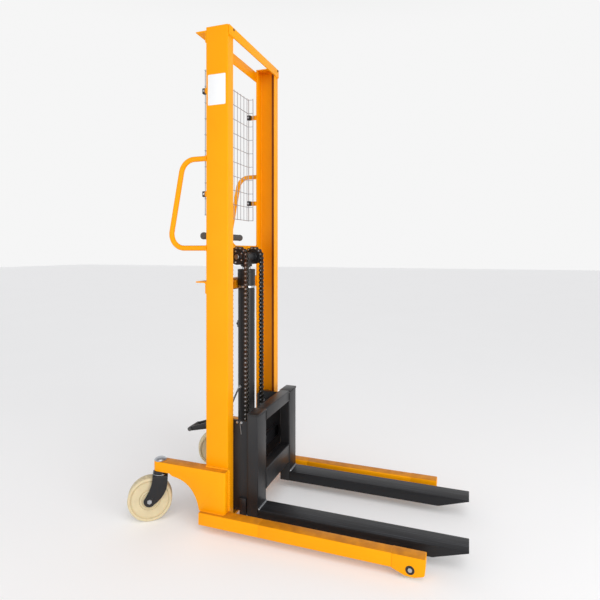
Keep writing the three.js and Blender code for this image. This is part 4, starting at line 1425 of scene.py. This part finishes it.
class STACKER_OT_pump_lever(bpy.types.Operator):
    """The pumping lever with its hub, crossbar and two ribbed grips"""
    bl_idname = "stacker.pump_lever"
    bl_label = "Pump lever"

    hub, shank, bar = 19, 27, 25  # radius of the hub, and how thick the two bars are
    grip_length, grip_radius = 122, 16

    def execute(self, context):
        _, high = span("pump_handle")
        pin = pivot("pump_stroke")
        reach, radius = high.y, self.grip_radius
        bar = (high.x - radius, high.z - radius)
        lever = Piece("pump_lever")
        face = [(8.6, 15.5), (10, 17), (self.hub - 1.5, 17), (self.hub, 15.5)]
        lever.add(lathe(face + mirrored(face), 36), BLACK, at(*pin, ACROSS))
        foot = Vector((pin.x, 0, pin.z + 12))
        head = Vector((bar[0], 0, bar[1]))
        socket = foot.lerp(head, 0.16)
        lever.add(tube([foot, head], self.shank, sides=32), BLACK)
        lever.add(tube([foot, socket], self.shank + 6, sides=32), BLACK)
        lever.add(bolt_head(8), OXIDE, at(socket.x - 16, 0, socket.z - 40, facing(-1, 0, 0)))
        lever.add(rod(self.bar / 2, 6 - reach, reach - 6, 32), BLACK,
                  at(bar[0], 0, bar[1], ACROSS))
        lever.add(weld_ring(at(bar[0], 0, bar[1] - 12.6), 15, 12), BLACK)
        for out in (-1, 1):
            place = at(bar[0], out * (reach - self.grip_length), bar[1], facing(0, out, 0))
            lever.add(self.grip(radius), RUBBER, place)
        lever.mount("pump_handle", "grip_rubber", "pump_handle")
        return {"FINISHED"}

    def grip(self, radius):
        """A moulded grip with a collar, finger ribs and a domed end."""
        length = self.grip_length
        face = [(0, 0), (radius - 0.5, 0), (radius, 1), (radius, 5), (radius - 2, 7)]
        ribs = 16
        for i in range(ribs):
            h = 9 + (length - 26) * i / (ribs - 1)
            face += [(radius - 2.2, h), (radius - 0.9, h + 1), (radius - 0.9, h + 3.2),
                     (radius - 2.2, h + 4.2)]
        face += [(radius - 1, length - 10), (radius, length - 8), (radius - 0.6, length - 4),
                 (radius - 4, length - 1), (radius - 9, length), (0, length)]
        return lathe(face, 36)


# ---- carriage and forks ----------------------------------------------------------------------


class STACKER_OT_carriage_sides(bpy.types.Operator):
    """The carriage's side plates with the rollers that run in the channels"""
    bl_idname = "stacker.carriage_sides"
    bl_label = "Carriage sides"

    chamfer, wall, roller, roller_width = 20, 12, 37, 30

    def execute(self, context):
        edge = sizes()["edge"]
        mast = span("right_upright")[1].x / 2
        for name, side in SIDES:
            low, high = span(f"{name}_side_plate")
            inner, rim = near_and_far(low, high)
            face = inner + side * self.wall
            outline = rounded(
                [(low.x, low.z + self.chamfer), (low.x + self.chamfer, low.z),
                 (high.x, low.z), (high.x, high.z), (low.x + self.chamfer, high.z),
                 (low.x, high.z - self.chamfer)], [4, 4, 1, 6, 4, 4])
            cheek = Piece(f"{name}_carriage_cheek")
            cheek.add(plate(outline, self.wall, edge), BLACK,
                      at(0, (inner + face) / 2, 0, SIDE_ON))
            for z in (low.z + 47, high.z - 42):
                axle = at(mast, face, z, facing(0, side, 0))
                gap = abs(rim - face) - self.roller_width
                wheel = [(0, gap), (30, gap), (self.roller - 2, gap + 0.6),
                         (self.roller, gap + 2.6), (self.roller, gap + self.roller_width - 2.6),
                         (self.roller - 2, gap + self.roller_width - 0.6),
                         (26, gap + self.roller_width), (24, gap + self.roller_width - 1.5),
                         (0, gap + self.roller_width - 1.5)]
                cheek.add(lathe(wheel, 48), STEEL, axle)
                cheek.add(lathe([(0, -2), (16, -2), (16, 2), (12, gap + 1), (0, gap + 1)], 32),
                          STEEL, axle)
                head = at(mast, inner, z, facing(0, -side, 0))
                cheek.add(button(17, -1, 3, 1.5, 1.5, 32), BLACK, head)
                cheek.add(bolt_head(8), ZINC, head @ at(0, 0, 2.8))
            for x in (high.x - 48, high.x - 29):
                cheek.add(bolt_head(5), ZINC, at(x, face, high.z - 7, facing(0, side, 0)))
            split_pin = [(high.x - 34, face + side * 3, high.z - 10),
                         (high.x - 28, face + side * 3, high.z - 54)]
            cheek.add(tube(split_pin, 4, sides=8), STEEL)
            cheek.add(block((high.x - 35, inner + side, low.z - 16),
                            (high.x - 5, face + side * 8, low.z + 56), 2), BLACK)
            cheek.mount("carriage", "black_paint", f"{name}_side_plate")
        return {"FINISHED"}


class STACKER_OT_fork_frame(bpy.types.Operator):
    """The fork posts, the crossbars between them and the chains' anchor bar"""
    bl_idname = "stacker.fork_frame"
    bl_label = "Fork frame"

    cap, lap = 6, 1.5  # thickness of a post's end cap, and how far it stands out

    def execute(self, context):
        corner = sizes()["tube_corner"]
        top_of_fork = span("right_fork")[1].z
        for name, side in SIDES:
            low, high = span(f"{name}_fork_post")
            inner, outer = near_and_far(low, high)
            section = rounded([(low.x, low.y), (high.x, low.y), (high.x, high.y),
                               (low.x, high.y)], corner)
            under = high.z - self.cap
            post = Piece(f"{name}_fork_upright")
            post.add(plate(section, under - low.z, 0.6), BLACK, at(0, 0, (low.z + under) / 2))
            lap = self.lap
            post.add(block((low.x - lap, low.y - lap, under + 0.4),
                           (high.x + lap, high.y + lap, high.z), 1.2), BLACK)
            for x in (low.x, high.x):
                post.add(weld((x, low.y + 4, under), (x, high.y - 4, under)), BLACK)
            heel = weld((high.x + 1, low.y + 3, top_of_fork + 1),
                        (high.x + 1, high.y - 3, top_of_fork + 1), size=1.8)
            post.add(heel, STEEL)
            for bar in ("upper_crossbar", "lower_crossbar"):
                ends = span(bar)
                post.add(weld((high.x, inner, ends[0].z + 3),
                              (high.x, inner, min(ends[1].z, under) - 3)), BLACK)
            post.add(weld((low.x, outer - side * 11, low.z + 30),
                          (low.x, outer - side * 11, high.z - 40)), BLACK)
            post.mount("carriage", "black_paint", f"{name}_fork_post")

        for node, name in (("upper_crossbar", "upper_fork_tie"),
                           ("lower_crossbar", "lower_fork_tie")):
            low, high = span(node)
            section = rounded([(low.x, low.z), (high.x, low.z), (high.x, high.z),
                               (low.x, high.z)], corner)
            tie = Piece(name)
            tie.add(plate(section, high.y - low.y, 0.4), BLACK,
                    at(0, (low.y + high.y) / 2, 0, SIDE_ON))
            tie.mount("carriage", "black_paint", node)
        self.anchor_bar()
        return {"FINISHED"}

    def anchor_bar(self):
        """The bar behind the posts that the chains pull on, with their clevises and nuts."""
        low, high = span("chain_anchor_bar")
        bar = Piece("chain_anchor_beam")
        rear = high.x - 20
        bar.add(block((rear, low.y, low.z), (high.x, high.y, high.z), 1.5), BLACK)
        for name, _ in SIDES:
            near, far = span(f"{name}_front_chain")
            x, y = (near.x + far.x) / 2, (near.y + far.y) / 2
            bar.add(block((low.x, y - 13, low.z), (rear + 1, y + 13, near.z - 0.6), 2), BLACK)
            for edge in (y - 13, y + 13):
                bar.add(weld((rear, edge, low.z + 3), (rear, edge, near.z - 1)), BLACK)
            bar.add(block((x - 7, y - 5.4, near.z - 1), (x + 7, y + 5.4, near.z + 12), 2), OXIDE)
            bar.add(stud_end(12, 26), ZINC, at(x, y, low.z, facing(0, 0, -1)))
        bar.mount("carriage", "black_paint", "chain_anchor_bar")


class STACKER_OT_forks(bpy.types.Operator):
    """The two fork blades"""
    bl_idname = "stacker.forks"
    bl_label = "Forks"

    taper, tip = 125, 5  # length of the sloping underside, and thickness at its end

    def execute(self, context):
        for name, _ in SIDES:
            low, high = span(f"{name}_fork")
            outline = rounded(
                [(low.x, low.z), (high.x - self.taper, low.z), (high.x, high.z - self.tip),
                 (high.x, high.z), (low.x, high.z)], [0, 30, 1.8, 1.8, 0])
            blade = Piece(f"{name}_fork_blade")
            blade.add(plate(outline, high.y - low.y, 2.2, steps=2), BLADE,
                      at(0, (low.y + high.y) / 2, 0, SIDE_ON))
            blade.mount("carriage", "black_paint", f"{name}_fork")
        return {"FINISHED"}


# ---- stage -----------------------------------------------------------------------------------


class STACKER_OT_stage(bpy.types.Operator):
    """A pale floor, soft studio light and the camera"""
    bl_idname = "stacker.stage"
    bl_label = "Stage"

    camera_at = (1018.2, -1988.5, 1130.5)  # a standing viewer's eye, right of the fork tips
    camera_turn, lens, rise = 0.340, 28.61, -0.0815
    lamps = (  # name, place in metres from the mast, width, power
        ("key", (3.6, -1.6, 1.2), 1.8, 50),
        ("side", (-0.9, -2.7, 1.0), 1.8, 10),
    )
    ceiling = (0.74, 40, (0.35, -0.5, 1.0))  # strength, softness in degrees, where it shines from

    def execute(self, context):
        scene = context.scene
        floor = bpy.data.objects.new("floor", mesh_of(
            ([Vector((x, y, 0)) for x, y in ((-30, -30), (30, -30), (30, 30), (-30, 30))],
             [[0, 1, 2, 3]]), "floor"))
        floor.data.materials.append(material("studio_floor"))
        scene.collection.objects.link(floor)

        for name, place, width, power in self.lamps:
            lamp = bpy.data.lights.new(name, "AREA")
            lamp.shape, lamp.size, lamp.energy = "SQUARE", width, power
            holder = bpy.data.objects.new(name, lamp)
            holder.location = DATUM + Vector(place)
            aim = Vector((0, 0, 0.9)) - Vector(place)
            holder.rotation_euler = aim.to_track_quat("-Z", "Y").to_euler()
            scene.collection.objects.link(holder)

        strength, softness, place = self.ceiling
        lamp = bpy.data.lights.new("ceiling", "SUN")
        lamp.energy, lamp.angle = strength, math.radians(softness)
        holder = bpy.data.objects.new("ceiling", lamp)
        holder.rotation_euler = Vector(place).to_track_quat("Z", "Y").to_euler()
        scene.collection.objects.link(holder)

        world = bpy.data.worlds.new("studio")
        scene.world = world
        world.use_nodes = True
        tree = world.node_tree
        up = add_node(tree, "ShaderNodeSeparateXYZ",
                      _0=add_node(tree, "ShaderNodeTexCoord").outputs["Generated"])
        height = add_node(tree, "ShaderNodeMapRange", {"interpolation_type": "SMOOTHSTEP"},
                          _0=up.outputs[2], _1=0.4, _2=0.9)
        sky = shades(tree, height.outputs[0], (0.92, 0.92, 0.92), (0.32, 0.32, 0.34))
        tree.links.new(sky, tree.nodes["Background"].inputs["Color"])

        camera = bpy.data.cameras.new("camera")
        camera.lens, camera.shift_y = self.lens, self.rise
        camera.clip_end = 100
        holder = bpy.data.objects.new("camera", camera)
        holder.location = DATUM + Vector(self.camera_at) * MM
        holder.rotation_euler = (math.pi / 2, 0, self.camera_turn)
        scene.collection.objects.link(holder)
        scene.camera = holder
        scene.view_settings.view_transform = "Standard"
        return {"FINISHED"}


# ---- add-on ----------------------------------------------------------------------------------

OPERATORS = (
    STACKER_OT_stage, STACKER_OT_mast, STACKER_OT_cross_members, STACKER_OT_legs,
    STACKER_OT_load_rollers, STACKER_OT_caster_brackets, STACKER_OT_casters,
    STACKER_OT_handles, STACKER_OT_guard, STACKER_OT_cylinder, STACKER_OT_piston,
    STACKER_OT_chain_wheels, STACKER_OT_chains, STACKER_OT_pump, STACKER_OT_pump_lever,
    STACKER_OT_carriage_sides, STACKER_OT_fork_frame, STACKER_OT_forks)


class STACKER_PT_panel(bpy.types.Panel):
    """Builds the stacker piece by piece"""
    bl_idname = "STACKER_PT_panel"
    bl_label = "Pallet stacker"
    bl_space_type = "VIEW_3D"
    bl_region_type = "UI"
    bl_category = "Stacker"

    def draw(self, context):
        for group in (context.scene.stacker_colours, context.scene.stacker_sizes):
            box = self.layout.box()
            for name in group.__annotations__:
                box.prop(group, name)
        for operator in OPERATORS:
            self.layout.operator(operator.bl_idname)


CLASSES = (StackerColours, StackerSizes, *OPERATORS, STACKER_PT_panel)


def register():
    for made in CLASSES:
        bpy.utils.register_class(made)
    bpy.types.Scene.stacker_colours = PointerProperty(type=StackerColours)
    bpy.types.Scene.stacker_sizes = PointerProperty(type=StackerSizes)


def unregister():
    del bpy.types.Scene.stacker_sizes
    del bpy.types.Scene.stacker_colours
    for made in reversed(CLASSES):
        bpy.utils.unregister_class(made)


def main():
    """Builds the truck piece by piece."""
    register()
    for operator in OPERATORS:
        group, name = operator.bl_idname.split(".")
        getattr(getattr(bpy.ops, group), name)()


if __name__ == "__main__":
    main()
